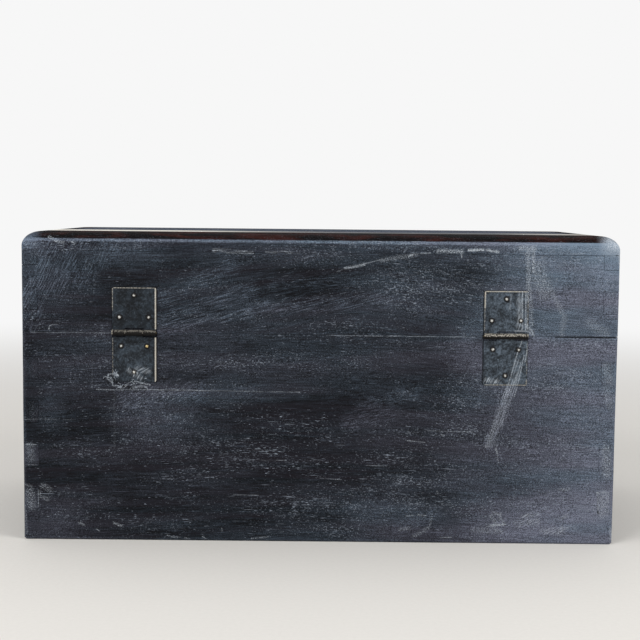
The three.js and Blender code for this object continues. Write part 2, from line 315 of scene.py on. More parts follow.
def aimedCamera():
    eye = bpy.data.objects.new("eye", bpy.data.cameras.new("eye"))
    eye.data.lens = view["lens"]
    eye.data.sensor_width = 36
    eye.data.clip_start = 0.01
    turn = Euler((math.radians(90 - view["pitch"]), 0, math.radians(180))).to_matrix()
    turn = turn @ Matrix.Rotation(math.radians(view["roll"]), 3, "Z")
    eye.matrix_world = Matrix.Translation(view["place"]) @ turn.to_4x4()
    bpy.context.scene.collection.objects.link(eye)
    bpy.context.scene.camera = eye


studio = {
    "lamps": {  # place, aimed at, width, height, watts
        "window left": ((0.95, 1.1, 1.0), (0, 0.09, 0.1), 0.9, 0.9, 13.0),
        "window right": ((-1.2, 0.8, 0.8), (0, 0.09, 0.1), 0.6, 0.9, 11.0),
        "sky": ((0.1, -0.3, 1.5), (0, 0, 0.1), 1.2, 1.0, 3.5),
    },
    "worldLight": 0.55,
    "worldSeen": 0.93,
    "floorColours": ("#d9d6d1", "#e0ddd8"),
    "floorSize": 14.0,
    "floorFade": (0.35, 1.6),
}
white = (1, 1, 1, 1)


def softLamp(name, place, target, width, height, watts):
    data = bpy.data.lights.new(name, "AREA")
    data.shape = "RECTANGLE"
    data.size = width
    data.size_y = height
    data.energy = watts
    lamp = bpy.data.objects.new(name, data)
    lamp.location = place
    lamp.rotation_euler = (Vector(target) - Vector(place)).to_track_quat("-Z", "Y").to_euler()
    bpy.context.scene.collection.objects.link(lamp)


def seenStraight(tree):
    # by the camera, or in or through something shiny
    path = allOutputs(tree.nodes.new("ShaderNodeLightPath"))
    return most(*[path[f"Is {ray} Ray"] for ray in ("Camera", "Glossy", "Transmission")])


def glowing(tree, kind, strength):
    return Value(addNode(tree, kind, {0: white, 1: strength}).outputs[0])


def paleRoom():
    world = bpy.data.worlds.new("pale room")
    world.use_nodes = True
    tree = world.node_tree
    tree.nodes.clear()
    light, pale = [glowing(tree, "ShaderNodeBackground", studio[name]) for name in ("worldLight", "worldSeen")]
    mix = derived("ShaderNodeMixShader", {0: seenStraight(tree), 1: light, 2: pale})
    addNode(tree, "ShaderNodeOutputWorld", {0: mix})
    bpy.context.scene.world = world


def paleFloor():
    half = studio["floorSize"] / 2
    mesh = bpy.data.meshes.new("floor")
    corners = [(-half, -half, 0), (half, -half, 0), (half, half, 0), (-half, half, 0)]
    mesh.from_pydata(corners, [], [range(4)])
    material, shader, point = newMaterial("matt card")  # uncoated card: no shine, faint felt-like mottle
    colour = blended(clouds(point, 0.4), *[linear(tone) for tone in studio["floorColours"]])
    fed(shader, {"Base Color": colour, "Roughness": 0.9, "Specular IOR Level": 0.1})
    # far from the chest it takes the room's own tone, so that no horizon shows
    share = faded(vector("LENGTH", point), *[reach / mm for reach in studio["floorFade"]])
    glow = glowing(point.tree, "ShaderNodeEmission", studio["worldSeen"])
    card = Value(shader.outputs[0])
    output = card.socket.links[0].to_node
    fed(output, {0: derived("ShaderNodeMixShader", {0: seenStraight(point.tree) * share, 1: card, 2: glow})})
    mesh.materials.append(material)
    shown("floor", mesh)


aimedCamera()
for lampName, settings in studio["lamps"].items():
    softLamp(lampName, *settings)
paleRoom()
paleFloor()
bpy.context.scene.view_settings.view_transform = "Standard"
print("camera, lamps and floor set")

# Marks rubbed, scraped and dusted on the hinged back, over wood and brass alike, with painted shade and painted
# highlights among them.
# Places are X and Z in millimetres. Hair names say which way the fine lines inside a mark run.

hairs = {  # direction in X and Z, length of a hair, its width
    "speckle": ((1, 0), 0.78, 0.66),
    "level": ((1, 0), 9.0, 0.7),
    "steep": ((-0.42, 0.91), 7.0, 0.75),
    "fanned": ((-0.96, 0.27), 12.0, 0.8),
    "climbing": ((-0.97, 0.22), 7.0, 0.6),
    "falling": ((0.29, -0.957), 15.0, 0.55),
    "sweeping": ((-0.86, 0.5), 8.0, 0.65),
}

chalkMarks = [  # from X and Z, to X and Z, half width, raggedness, strength, hair if not speckle
    (-10.4, 174.9, -16.4, 177.4, 0.6, 0.8, 0.4, "climbing"),  # scrape that climbs to the top edge
    (-15.4, 177.1, -27.4, 179.4, 1.1, 0.6, 0.85, "climbing"),
    (-26.4, 179.6, -39.4, 183, 0.6, 0.75, 0.6, "climbing"),
    (-38.4, 182.2, -60.4, 186.2, 1.8, 0.95, 0.5),
    (-55.9, 185.2, -58.9, 186.4, 1.0, 0.3, 0.9),
    (-63.4, 187, -69.4, 187.2, 0.7, 0.6, 0.7),
    (-74.4, 188.6, -89.4, 188.4, 1.7, 0.85, 0.95),
    (-88.9, 188.2, -89.4, 184.8, 0.6, 0.3, 0.8),
    (-93.7, 189.2, -102.8, 189.6, 1.2, 0.15, 1.0),
    (-105.1, 189.5, -112.4, 188.3, 1.3, 0.5, 0.95),
    (-126.5, 191, -135, 190.6, 2.6, 0.95, 0.75),  # dusty band above the hinge
    (-131.2, 190, -132.8, 158.2, 2.2, 0.92, 0.75),
    (-134.4, 191.2, -135.2, 176.2, 1.6, 0.85, 0.95),
    (-136.5, 178, -143, 163, 7.0, 0.98, 0.56),
    (-133, 166, -134.4, 142, 2.2, 0.96, 0.45),
    (-146, 165, -155.6, 147, 2.4, 0.97, 0.42),
    (-155.4, 148, -154, 136.6, 2.4, 0.97, 0.4),
    (-139.9, 184.8, -148.8, 190.9, 0.7, 0.85, 0.35, "sweeping"),
    (-172.1, 143.4, -181.3, 137.4, 4.5, 0.98, 0.35),
    (-154.9, 187.5, -166.9, 187.8, 0.45, 0.7, 0.5, "level"),
    (-185.1, 195.9, -188.7, 193.3, 1.8, 0.88, 0.85),  # the rubbed corner of the lid, with a painted highlight along its rim
    (-188.7, 193.3, -189.7, 181.3, 1.2, 0.8, 0.85),
    (-189.7, 181.3, -190.2, 158.7, 0.8, 0.85, 0.6),
    (-126.2, 163.4, -126.4, 146, 0.45, 0.75, 0.6),  # wiped down across the hinge
    (-128.3, 163.4, -128.7, 139, 0.6, 0.75, 0.8),
    (-130.4, 163.4, -131, 139, 0.6, 0.75, 0.8),
    (-127, 158, -127.4, 140.2, 2.6, 0.97, 0.45, "falling"),
    (-124, 138.2, -132, 138.2, 0.5, 0.4, 0.75),
    (-128.8, 132, -125.8, 123.5, 0.5, 0.6, 0.75),
    (-125.8, 123.5, -122.3, 109.3, 0.5, 0.6, 0.75),
    (-122.3, 109.3, -117.9, 95.1, 0.5, 0.7, 0.65),
    (-130.3, 122.6, -127.2, 106.2, 0.45, 0.65, 0.7),
    (-127.2, 106.2, -124.4, 95.2, 0.45, 0.7, 0.7),
    (-128.4, 118, -124.6, 103, 0.4, 0.6, 0.7),
    (-126.2, 112, -122.4, 99, 0.4, 0.7, 0.65),
    (-132.2, 126.8, -130.9, 118.4, 0.5, 0.6, 0.7),
    (-126, 118, -121.4, 98, 3.0, 0.97, 0.45, "falling"),
    (-124.4, 108.2, -114.4, 78.2, 4.2, 0.97, 0.34, "falling"),
    (-120.4, 98.2, -110.4, 66.2, 4.2, 0.98, 0.3),
    (-113.4, 79.2, -108.6, 64.2, 2.0, 0.95, 0.5, "falling"),
    (-110.2, 69.2, -107.4, 63.6, 1.4, 0.93, 0.5),
    (-113.6, 62.2, -114.4, 58.9, 0.8, 0.6, 0.85),
    (-114.6, 58.3, -115.5, 52.9, 0.4, 0.8, 0.5),
    (-131, 142, -135.4, 137.4, 1.7, 0.7, 0.8),
    (-132.8, 138, -136, 135.4, 1.3, 0.6, 0.75),
    (-121.4, 161.2, -120.4, 152.2, 1.0, 0.85, 0.4, "falling"),
    (-106.6, 106.6, -113.6, 105.6, 2.4, 0.85, 0.75, "steep"),
    (131.2, 97.2, 131.2, 60.2, 0.9, 0.9, 0.09),  # edge of the dull patch under the other hinge
    (135.7, 105.4, 134.9, 107.7, 0.8, 0.2, 0.95),  # curl torn up at its corner
    (134.9, 107.7, 130.6, 108.7, 0.6, 0.35, 0.8),
    (130.6, 108.7, 128.7, 107.1, 0.8, 0.2, 1.0),
    (135.7, 105.4, 132.5, 102.3, 0.7, 0.4, 0.8),
    (132.8, 105.8, 132.3, 102, 0.6, 0.3, 0.8),
    (132.4, 101, 128.6, 100.3, 0.6, 0.5, 0.7),
    (128.2, 100.3, 126.2, 97.6, 0.8, 0.7, 0.7),
    (124.8, 100.6, 120.2, 103.4, 0.5, 0.5, 0.65),
    (125.6, 99, 122.6, 101.2, 0.4, 0.4, 0.7),
    (119.3, 103.2, 118.8, 100.4, 0.5, 0.3, 0.75),
    (118, 103.3, 114, 102.6, 0.9, 0.4, 0.95),
    (114, 102.4, 108.2, 101.2, 0.6, 0.5, 0.8),
    (119.4, 99.6, 112.2, 100.4, 1.2, 0.5, 0.55),
    (117.2, 109.2, 116.2, 108.8, 0.6, 0.2, 0.9),
    (121.6, 110.4, 114.2, 105.4, 2.2, 0.85, 0.6, "steep"),
    (117, 112, 110, 110, 2.6, 0.93, 0.5, "sweeping"),
    (142.6, 98.1, 125.6, 97.9, 0.5, 0.5, 0.6, "level"),  # the open crack has filled with dust
    (125.6, 98.1, 63.6, 97.9, 0.5, 0.5, 0.6, "level"),
    (63.6, 97.9, 12.6, 97.5, 0.45, 0.7, 0.5, "level"),
    (172.8, 136.4, 172.4, 138.2, 0.55, 0.3, 0.7),
    (172.2, 138.6, 170.6, 139.4, 0.5, 0.4, 0.5),
    (170.2, 139.4, 167, 139.6, 0.4, 0.5, 0.35),
    (172.7, 195.4, 168.5, 192.9, 1.1, 0.85, 0.75),
    (168.5, 192.9, 163, 191.7, 1.2, 0.85, 0.8),
    (157.6, 192, 156.1, 191.4, 1.0, 0.7, 0.7),
    (67.6, 187.6, 43.6, 186.4, 1.5, 0.9, 0.55, "level"),
    (34.6, 187.2, 13.6, 186.6, 1.0, 0.92, 0.45, "level"),
    (154.1, 11, 151.1, 9.8, 1.0, 0.75, 0.7),  # scuffs along the foot
    (131.9, 11.2, 127, 9.3, 1.1, 0.8, 0.7),
    (143, 7.1, 141.4, 5.9, 0.7, 0.7, 0.5),
    (97, 3.3, 92.5, 2.2, 0.6, 0.9, 0.75),
    (92.3, 2.2, 88.9, 2.4, 0.5, 0.85, 0.65),
    (86.1, 2, 82.6, 0.8, 0.6, 0.88, 0.6),
    (74.7, 2.9, 72.7, 1.5, 0.5, 0.7, 0.6),
    (62.2, 8.4, 62, 6.5, 0.5, 0.5, 0.55),
    (42.9, 1.9, 32.1, 3.1, 0.7, 0.93, 0.5),
    (54.6, 30.4, 39, 30.2, 0.35, 0.6, 0.42, "level"),  # long fine scratches with the grain
    (37.1, 53.3, 20.9, 53.2, 0.35, 0.75, 0.36, "level"),
    (-0.9, 41.9, -14.4, 40.9, 0.4, 0.6, 0.42, "level"),
    (-30.6, 50.4, -44.1, 50.3, 0.35, 0.6, 0.42, "level"),
    (-69.6, 73.4, -98.6, 72.7, 0.35, 0.6, 0.5, "level"),
    (-56.7, 66.9, -68, 65.8, 0.4, 0.55, 0.5, "level"),
    (-78.5, 71, -80.3, 70.3, 0.7, 0.6, 0.6),
    (-56.9, 17.6, -61.6, 18.1, 0.5, 0.85, 0.75),  # rubbed spots along the foot of the end with thicker bloom and painted sheen
    (-64.4, 18.5, -69.2, 17.9, 0.7, 0.85, 0.75),
    (-52.9, 8.7, -58.8, 9.5, 1.6, 0.97, 0.45),
    (-62, 4.5, -71.5, 10.1, 1.7, 0.97, 0.42),
    (-71.7, 10.7, -73.1, 16.9, 1.1, 0.96, 0.36),
    (-78.5, 3.7, -86.2, 3.8, 0.5, 0.6, 0.55, "level"),
    (-76.2, 34.1, -77.2, 32.3, 0.7, 0.8, 0.6),
    (-112.5, 19.9, -117.4, 19.4, 1.3, 0.92, 0.7),
    (-111.7, 17.7, -114.8, 13.7, 2.0, 0.96, 0.6),
    (-116.7, 17.8, -119.3, 13.8, 1.7, 0.96, 0.55),
    (-111.2, 11.9, -120.3, 12.7, 1.2, 0.6, 1.0),
    (-108.3, 11.3, -113.2, 11.5, 0.45, 0.4, 0.7, "level"),
    (-112.7, 10.1, -118.5, 7.9, 1.6, 0.95, 0.55),
    (-100.4, 8.9, -116.3, 7.9, 2.6, 0.97, 0.36),
    (-131.9, 18.1, -141.7, 19.9, 2.0, 0.95, 0.5, "sweeping"),
    (-129, 13.1, -140.9, 14.9, 3.4, 0.97, 0.45, "sweeping"),
    (-145, 9.2, -156.9, 8.1, 3.4, 0.97, 0.45, "sweeping"),
    (-155.3, 16.3, -160.8, 18.6, 1.5, 0.93, 0.5, "sweeping"),
    (-156.8, 10.3, -164.9, 11.6, 1.7, 0.96, 0.4, "sweeping"),
    (-155.2, 35.6, -161.1, 36.3, 1.4, 0.95, 0.5),
    (-179.3, 33.9, -180.7, 33.9, 0.8, 0.2, 1.0),  # dusty end grain of a finger
    (-182.1, 34.2, -186.8, 34.2, 0.6, 0.6, 1.0),
    (-179.7, 32.9, -180.4, 22.3, 0.6, 0.8, 0.9),
    (-186.6, 32.9, -186.7, 27.4, 0.6, 0.85, 0.7),
    (-183.4, 32.4, -183.9, 20.9, 4.6, 0.98, 0.6),
    (-188.7, 10.8, -189.3, 2.6, 1.1, 0.8, 0.8),
    (-184.4, 62.2, -185.4, 46.2, 3.8, 0.97, 0.6),
    (-183.3, 115.5, -184.6, 106.3, 4.0, 0.98, 0.45),
    (-183.2, 101.4, -186.2, 90.5, 3.0, 0.98, 0.3),
    (188, 62.2, 185.8, 62.1, 0.8, 0.4, 0.9),  # end grain of the fingers at the other end
    (184.5, 61.9, 181.9, 62.1, 0.7, 0.6, 0.8),
    (186, 60.5, 185.1, 52.9, 3.6, 0.98, 0.36),
    (188.1, 48.7, 181.2, 48.6, 0.45, 0.85, 0.5),
    (189.1, 35.6, 185.1, 34.9, 1.3, 0.94, 0.45),
    (186.2, 31.2, 184.7, 21.8, 3.8, 0.98, 0.5),
    (180.5, 32.4, 180.4, 21, 0.5, 0.8, 0.7),
    (179.3, 31.9, 179.2, 27.7, 0.8, 0.88, 0.65),
    (177.3, 27.7, 174.7, 26.3, 1.8, 0.96, 0.5),
    (177.6, 35.1, 173.3, 32.8, 2.6, 0.98, 0.42),
    (189.4, 21.8, 188.6, 4.6, 1.5, 0.96, 0.36),
    (190.4, 78.4, 156.6, 78.4, 0.5, 0.85, 0.2, "level"),
    (145.2, 118.2, 145.4, 99.2, 0.4, 0.85, 0.14),
    (184, 134.4, 133, 134.5, 0.5, 0.7, 0.34, "level"),  # dust along the rim
    (-4.4, 134.3, -98.4, 134, 0.5, 0.7, 0.36, "level"),
]

hazeMarks = [
    (186, 156, 170, 189, 8.0, 0.95, 0.34, "steep"),  # wiped into the upper corner
    (170, 164, 154, 190, 10.0, 0.97, 0.24, "steep"),
    (152, 170, 134, 190, 9.0, 0.97, 0.2, "steep"),
    (184, 140, 176, 166, 7.0, 0.97, 0.16, "steep"),
    (188, 190, 150, 190, 5.0, 0.9, 0.16, "level"),
    (103, 137, 44, 149, 5.0, 0.95, 0.26, "fanned"),  # fanned out beside the hinge
    (102, 143, 44, 163, 6.0, 0.97, 0.24, "fanned"),
    (98, 156, 58, 178, 8.0, 0.97, 0.2, "fanned"),
    (60, 150, -44, 158, 7.0, 0.97, 0.2, "fanned"),
    (30, 168, -74, 169, 6.0, 0.95, 0.14, "level"),
    (124, 91, 78, 97, 8.0, 0.92, 0.2, "sweeping"),  # under the torn corner
    (122, 78, 94, 64, 13.0, 0.85, 0.07),
    (96, 80, 66, 70, 12.0, 0.9, 0.06),
    (-124.4, 108.2, -113.4, 77, 5.6, 0.95, 0.4, "falling"),  # wiped down below the other hinge
    (-118, 92, -109, 65, 4.4, 0.95, 0.36, "falling"),
    (-18.8, 77.8, -47, 85.6, 7.0, 0.97, 0.18, "climbing"),
    (-26.7, 88.1, -60.3, 97.9, 6.0, 0.97, 0.18, "climbing"),
    (-181.3, 171.7, -187, 150.6, 8.0, 0.98, 0.2),
    (-122.2, 7.6, -140.1, 6.8, 3.0, 0.92, 0.3, "level"),
    (-141.7, 19.4, -157.5, 23.6, 5.0, 0.97, 0.3, "sweeping"),
    (-52, 8, -74, 20, 6.0, 0.9, 0.14, "sweeping"),
    (-120, 8, -186, 18, 9.0, 0.9, 0.14, "sweeping"),
    (-130, 90, -186, 90, 40.0, 0.6, 0.1),
]

darkMarks = [  # grime, shade and bare hollows
    (118, 160, 118, 142, 14, 0.2, 0.22),
    (103.8, 163.6, 103.8, 103.4, 0.5, 0.2, 0.75),  # painted shade in the gaps beside the leaves
    (105.9, 163, 105.9, 104, 0.4, 0.4, 0.6),
    (-103.9, 163.6, -103.9, 103.6, 0.5, 0.2, 0.85),
    (-105.4, 162.4, -131, 162.4, 0.5, 0.6, 0.6),
    (-105, 113, -114, 114.4, 2.0, 0.8, 0.75),  # blots on the leaves
    (-114.8, 149.1, -119.4, 147, 1.3, 0.6, 0.8),
    (-121.5, 152, -127, 150.4, 1.1, 0.7, 0.8),
    (-113, 154, -121, 149, 2.2, 0.95, 0.5),
    (-127.5, 129.6, -121.5, 128.6, 2.2, 0.6, 0.55),
    (-117, 122, -124, 117, 2.0, 0.95, 0.4),
    (125, 129.4, 112, 129.2, 2.0, 0.7, 0.75),
    (128.6, 101.2, 119, 99.3, 1.0, 0.4, 1.0),  # painted shade in the hollow under the torn corner
    (122.7, 98.6, 118.6, 98, 0.7, 0.6, 0.8),
    (137.4, 105.6, 135, 101.6, 0.9, 0.7, 0.8),
    (131.6, 105.6, 129.6, 102.4, 1.3, 0.6, 0.7),
    (117.9, 107.2, 116.4, 107, 0.7, 0.3, 0.9),
    (126, 94.2, 121, 96.2, 0.7, 0.6, 0.6, "sweeping"),
    (182.6, 62, 182.6, 49, 0.4, 0.5, 0.3),
    (-179.7, 117.9, -188.1, 118.2, 0.4, 0.3, 0.7, "level"),
    (-180.3, 21.6, -180.5, 20.8, 0.9, 0.1, 1.0),
    (-187.1, 186.9, -189.3, 186.9, 0.35, 0.2, 0.8),
    (0, 134.3, 60, 134.4, 0.35, 0.6, 0.5, "level"),  # painted shade along the rim where it gapes
    (-150, 134.3, -188, 134.3, 0.55, 0.1, 0.9, "level"),
    (86, 98.3, 140, 98.2, 0.3, 0.6, 0.4, "level"),
]

softPatches = [  # middle X and Z, reach along X and up, strength
    (172, 168, 48, 44, 0.07),
    (106, 84, 40, 34, 0.13),
    (150, 112, 40, 40, 0.05),
    (118, 116, 17, 17, 0.12),
    (186, 16, 46, 34, 0.06),
    (-40, 4, 130, 17, 0.09),
    (-120, 12, 60, 26, 0.1),
    (-172, 12, 60, 30, 0.08),
    (-172, 172, 60, 44, 0.1),
    (62, 160, 70, 34, 0.05),
    (-20, 188, 190, 13, 0.08),
    (-104, 128, 34, 46, 0.07),
    (-60, 70, 60, 50, 0.03),
    (0, 118, 120, 30, 0.08),
    (75, 85, 40, 30, 0.03),
    (-110, 158, 24, 24, 0.04),
    (-132, 66, 50, 52, -0.17),
    # painted highlight on the rounded corner of the lid
    (-188, 188, 30, 26, 0.42),
    (-56, 193, 70, 9, 0.1),
    (122, 186, 40, 16, 0.15),
    (12, 168, 52, 36, -0.07),
    (-100, 173, 22, 22, -0.1),
    (60, 97, 44, 12, 0.12),
    (-46, 18, 46, 14, 0.16),
    (-64, 160, 36, 26, 0.06),
    (182, 30, 24, 26, -0.06),
    (-178, 30, 28, 36, 0.12),
    (8, 38, 60, 18, -0.06),
    (184, 182, 14, 18, 0.1),
    # painted highlight along the shoulder at that end
    (-156, 194, 60, 9, 0.3),
    (-140, 104, 36, 22, -0.1),
    (172, 84, 14, 20, 0.08),
    (172, 36, 40, 16, -0.05),
    (8, 164, 46, 16, -0.04),
    (150, 194, 40, 8, -0.08),
    (-124, 36, 38, 12, -0.07),
]

vesselPatches = [  # where the open vessels lie densest
    (34, 24, 60, 12, 0.1),
    (-60, 58, 60, 34, 0.12),
    (-100, 82, 44, 30, 0.12),
    (-38, 86, 44, 30, -0.16),
    (14, 166, 70, 26, -0.07),
    (-78, 176, 50, 24, 0.08),
    (60, 52, 60, 20, 0.08),
    (150, 40, 34, 16, 0.04),
    (130, 166, 70, 30, -0.2),
    (60, 185, 80, 20, -0.1),
]

bloomAndSheenEnd = (-64, -154, 0.0, 0.42)  # the end with thicker grey-blue bloom and a painted sheen: X from and to, bloom from and to
mostSpread = 2.3  # how far a ragged stroke spreads, in half widths
backSkin = 3.2  # how deep the marks of the back go, so that they cover the leaves and the edges too


def strokeGroup():
    tree, given = newGroup("rubbed stroke", "ShaderNodeTree", {
        "Vector": ["Point", "From", "To"], "Float": ["Half width", "Hairs", "Raggedness"]})
    way = vector("SUBTRACT", given["To"], given["From"])
    heading = vector("NORMALIZE", way)
    offset = vector("SUBTRACT", given["Point"], given["From"])
    along = least(most(vector("DOT_PRODUCT", offset, heading), 0.0), vector("LENGTH", way))
    share = vector("DISTANCE", offset, vector("SCALE", heading, along)) / given["Half width"]
    thin = (0.5 - given["Hairs"]) * given["Raggedness"]
    body = faded(timesPlus(thin, 2.4, share), 0.1, 1.0, 1.0, 0.0)
    strands = faded(given["Hairs"], 0.44, 0.62)
    broken = derived("ShaderNodeMix", {0: given["Raggedness"], 2: 1.0, 3: strands})
    return closedGroup(tree, {"Amount": body * broken})


rubbedStroke = strokeGroup()


def strokes(point, rows, noises):
    # each stroke joins the total at once, because a shader can only hold so many values
    total = 0.0
    for x0, z0, x1, z1, half, raggedness, strength, *hair in rows:
        stroke = grouped(rubbedStroke, {
            "Point": point, "From": (x0, 0, z0), "To": (x1, 0, z1), "Half width": half,
            "Hairs": noises[hair[0] if hair else "speckle"], "Raggedness": raggedness})
        total = most(total, stroke["Amount"] * strength)
    return total


def hairNoises(point, names):
    made = {}
    for name in names:
        (x, z), length, width = hairs[name]
        turned = rotated(point, math.atan2(z, x), "Y")
        made[name] = clouds(vector("MULTIPLY", turned, (1 / length, 1, 1 / width)), roughness=0.6)
    return made


def patched(point, rows):
    total = 0.0
    for x, z, along, up, strength in rows:
        away = vector("DIVIDE", vector("SUBTRACT", point, (x, 0, z)), (along, 1, up))
        total += faded(vector("LENGTH", away), 0.15, 1.0, strength, 0.0)
    return total


def reaching(rows, pieces, isPatch=False):
    # the marks that come near one of these pieces
    kept = []
    boxes = [[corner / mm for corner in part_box(piece)] for piece in pieces]
    for row in rows:
        if isPatch:
            x, z, along, up = row[:4]
        else:
            x0, z0, x1, z1, half = row[:5]
            x, z = (x0 + x1) / 2, (z0 + z1) / 2
            along, up = abs(x1 - x0) / 2 + half * mostSpread, abs(z1 - z0) / 2 + half * mostSpread
        if any(low.x - along < x < high.x + along and low.z - up < z < high.z + up for low, high in boxes):
            kept.append(row)
    return kept


def backMarksGroup(pieces):
    # only the marks that these pieces need, because a shader can't hold them all
    tree, given = newGroup("marks on " + pieces[0], "ShaderNodeTree", {"Vector": ["Point"]})
    x, y, z = split(given["Point"])
    flat = vector("MULTIPLY", given["Point"], (1, 0, 1))
    noises = hairNoises(flat, hairs)
    onBack = y > backFace - backSkin
    made = {label: strokes(flat, reaching(rows, pieces), noises)
            for label, rows in (("Chalk", chalkMarks), ("Wiped", hazeMarks), ("Dark", darkMarks))}
    made["Haze"] = faded(x, *bloomAndSheenEnd) + patched(flat, reaching(softPatches, pieces, True))
    made["Vessels"] = patched(flat, reaching(vesselPatches, pieces, True))
    return closedGroup(tree, {label: amount * onBack for label, amount in made.items()})


# The figure of rosewood: growth bands, fibres and long open vessels

figure = {
    "wave": (150.0, 9.0),  # length and height of the slow waves in the grain
    "Bands": (190.0, 7.0, 3.0),  # growth bands: along, across, detail
    "Fibres": (14.0, 0.6, 3.0),  # real fibres are finer; these are as fine as the picture can hold
    "Dust": (0.58, 0.48, 2.0),  # clumps of wax and dust
    "Density": (70.0, 14.0, 2.0),  # how closely the vessels stand
    "pore": (2.9, 0.38),  # length and height of a vessel, drawn as high as a pixel
    "poreFrom": (0.885, 0.95),
    "longPore": (13.0, 0.42),
    "longPoreFrom": (0.93, 1.0),
    "speck": (0.95, 0.72),  # a grain of dust, drawn as large as a pixel
    "speckFrom": (0.82, 0.92),
    "seedShift": 37.7,
    "gathering": 0.35,  # how much more often a vessel shows where they stand close
}


def stretched(point, along, across):
    return vector("MULTIPLY", point, (1 / along, 1 / across, 1 / across))


def dots(point, density, size):
    # short dashes where a fine noise peaks, more of them where the density is high
    peaks = clouds(stretched(point, *figure[size]), detail=1.0)
    return faded(timesPlus(density, figure["gathering"], peaks), *figure[size + "From"])


def grainGroup():
    # takes a point with X along the grain
    tree, given = newGroup("rosewood grain", "ShaderNodeTree", {
        "Vector": ["Point"], "Float": ["Bow", "Bow at", "Bow span", "Seed", "More vessels"]})
    x, y, z = split(given["Point"])
    away = (x - given["Bow at"]) / given["Bow span"]
    arch = given["Bow"] / timesPlus(away, away, 1.0)
    shifted = timesPlus(given["Seed"], figure["seedShift"], z - arch)
    base = derived("ShaderNodeCombineXYZ", {0: x, 1: y, 2: shifted})
    length, height = figure["wave"]
    wave = clouds(vector("SCALE", base, 1 / length), detail=1.0).other(1)
    wave = vector("MULTIPLY", vector("SUBTRACT", wave, (0.5, 0.5, 0.5)), (0, height, height))
    point = vector("ADD", base, wave)
    made = {}
    for label in ("Bands", "Fibres", "Dust", "Density"):
        *size, detail = figure[label]
        made[label] = clouds(stretched(point, *size), 1.0, detail, 0.7)
    density = made.pop("Density") + given["More vessels"]
    made["Pores"] = most(*[dots(point, density, size) for size in ("pore", "longPore")])
    made["Specks"] = dots(point, density, "speck")
    return closedGroup(tree, made)


rosewoodGrain = grainGroup()

zones = {  # in millimetres from the face, rim or edge
    "wall": 9.0,  # how far in the outside ends
    "ceiling": 11.0,
    "arris": (3.0, 0.5),
    "foot": (0.4, 2.6),
    "rim": (0.4, 1.5),
    "corner": (16.0, 5.0),
    "cornerDepth": (15.0, 4.0),
    "flat": (0.5, 0.1),
    "roundOver": (4.3, 3.7),
    "shoulder": 4.9,
    "shoulderWidth": (0.3, 1.5),
    "grazing": (0.93, 0.97),  # how edge-on the top has to be seen for its painted sheen and painted dark edge to show
    "brow": ((6.0, 26.0), (44.0, 60.0)),  # where it starts and ends, in Y
    "low": (40.0, 50.0),
}


def placeGroup():
    # where a point lies on the chest: inside, on the rubbed arrises, or on the round-over of the top
    tree, given = newGroup("place on the chest", "ShaderNodeTree", {"Vector": ["Point"]})

    def near(value, face, reach):
        return faded(value, *[face - gap for gap in reach])

    x, y, z = split(vector("ABSOLUTE", given["Point"]))
    wall = zones["wall"]
    inside = (x < halfWidth - wall) * (y < backFace - wall) * (z < topZ - zones["ceiling"])
    nearX, nearY = near(x, halfWidth, zones["arris"]), near(y, backFace, zones["arris"])
    nearFoot = faded(z, *zones["foot"], 1.0, 0.0)
    nearRim = faded(abs(z - axisZ), *zones["rim"], 0.3, 0.0)
    outer = most(nearX, nearY)
    arris = most(nearX * nearY, outer * nearFoot, outer * nearRim)
    corner = near(x, halfWidth, zones["corner"])
    flatTop = near(z, topZ, zones["flat"])
    edge = most(x - (halfWidth - wall), y - (backFace - wall))
    ragged = timesPlus(clouds(given["Point"], 0.06, 4.0, 0.6), 22.0, edge)
    middle = flatTop * faded(ragged, -2.0, 9.0, 1.0, 0.0)
    roundOver = near(z, topZ, zones["roundOver"]) * (1 - corner * 0.8) * (1 - middle)
    shoulder = faded(abs(z - (topZ - zones["shoulder"])), *zones["shoulderWidth"], 1.0, 0.0)
    # seen edge-on, the top gets a painted sheen (Brow) and a painted dark edge (Low)
    facing = allOutputs(addNode(tree, "ShaderNodeLayerWeight", {"Blend": 0.5}))["Facing"]
    grazing = flatTop * faded(facing, *zones["grazing"])
    starts, ends = zones["brow"]
    row = list(split(given["Point"]))[1]
    return closedGroup(tree, {
        "Inside": inside, "Arris": arris, "Round-over": roundOver, "Shoulder": shoulder,
        "Brow": grazing * faded(row, *starts) * faded(row, *ends, 1.0, 0.0),
        "Low": grazing * faded(row, *zones["low"]), "Flat top": flatTop, "Middle": middle,
        "Corner": corner * near(z, topZ, zones["cornerDepth"]) * (1 - flatTop)})


placeOnChest = placeGroup()

woodTones = {
    "ink": "#0b0b0d",  # iron-black stain, rubbed in and waxed
    "inkThin": "#1f242b",
    "heartwood": "#1f1c22",  # where the stain lies thin on the red wood
    "bareWood": "#674737",  # the inside was never stained
    "bareDark": "#41291f",
    "bareFibre": "#7d5440",
    "vessel": "#1f120e",
    "worn": "#2e1714",  # rubbed through to the red wood
    # near-black patches that darken the round-over as painted shade
    "wornInShade": "#0d0b0c",
    "bloom": "#6c7b8c",  # wax that has turned grey-blue
    "bloomWarm": "#767a8b",
    "dust": "#929ba8",
    "chalk": "#b6bec7",
    "grazingSheen": "#e2ddd4",  # painted sheen: the pale line along the edge of the flat top, seen edge-on
    "shade": "#090808",
}
tones = {name: linear(tone) for name, tone in woodTones.items()}

waxed = {  # how the bloom lies
    "patch": (120.0, 26.0),  # length and height of its patches
    "cover": (0.0, 0.1),
    # the bloom on the shoulder and the rounded corners is brightened as a painted highlight
    "Shoulder": 0.5,
    "Arris": 0.12,
    "Corner": 0.5,
    "Middle": 0.3,
    "brow": 0.95,
    "specks": 0.5,
    "vessels": 0.74,
    "hairlines": 0.18,
    "strands": (0.66, 1.22),  # how much the fibres thin and thicken it
    "clumps": (0.08, 2.02),
    "closing": 0.5,  # how far thick bloom closes up
    "wornPatch": (34, 4),
}


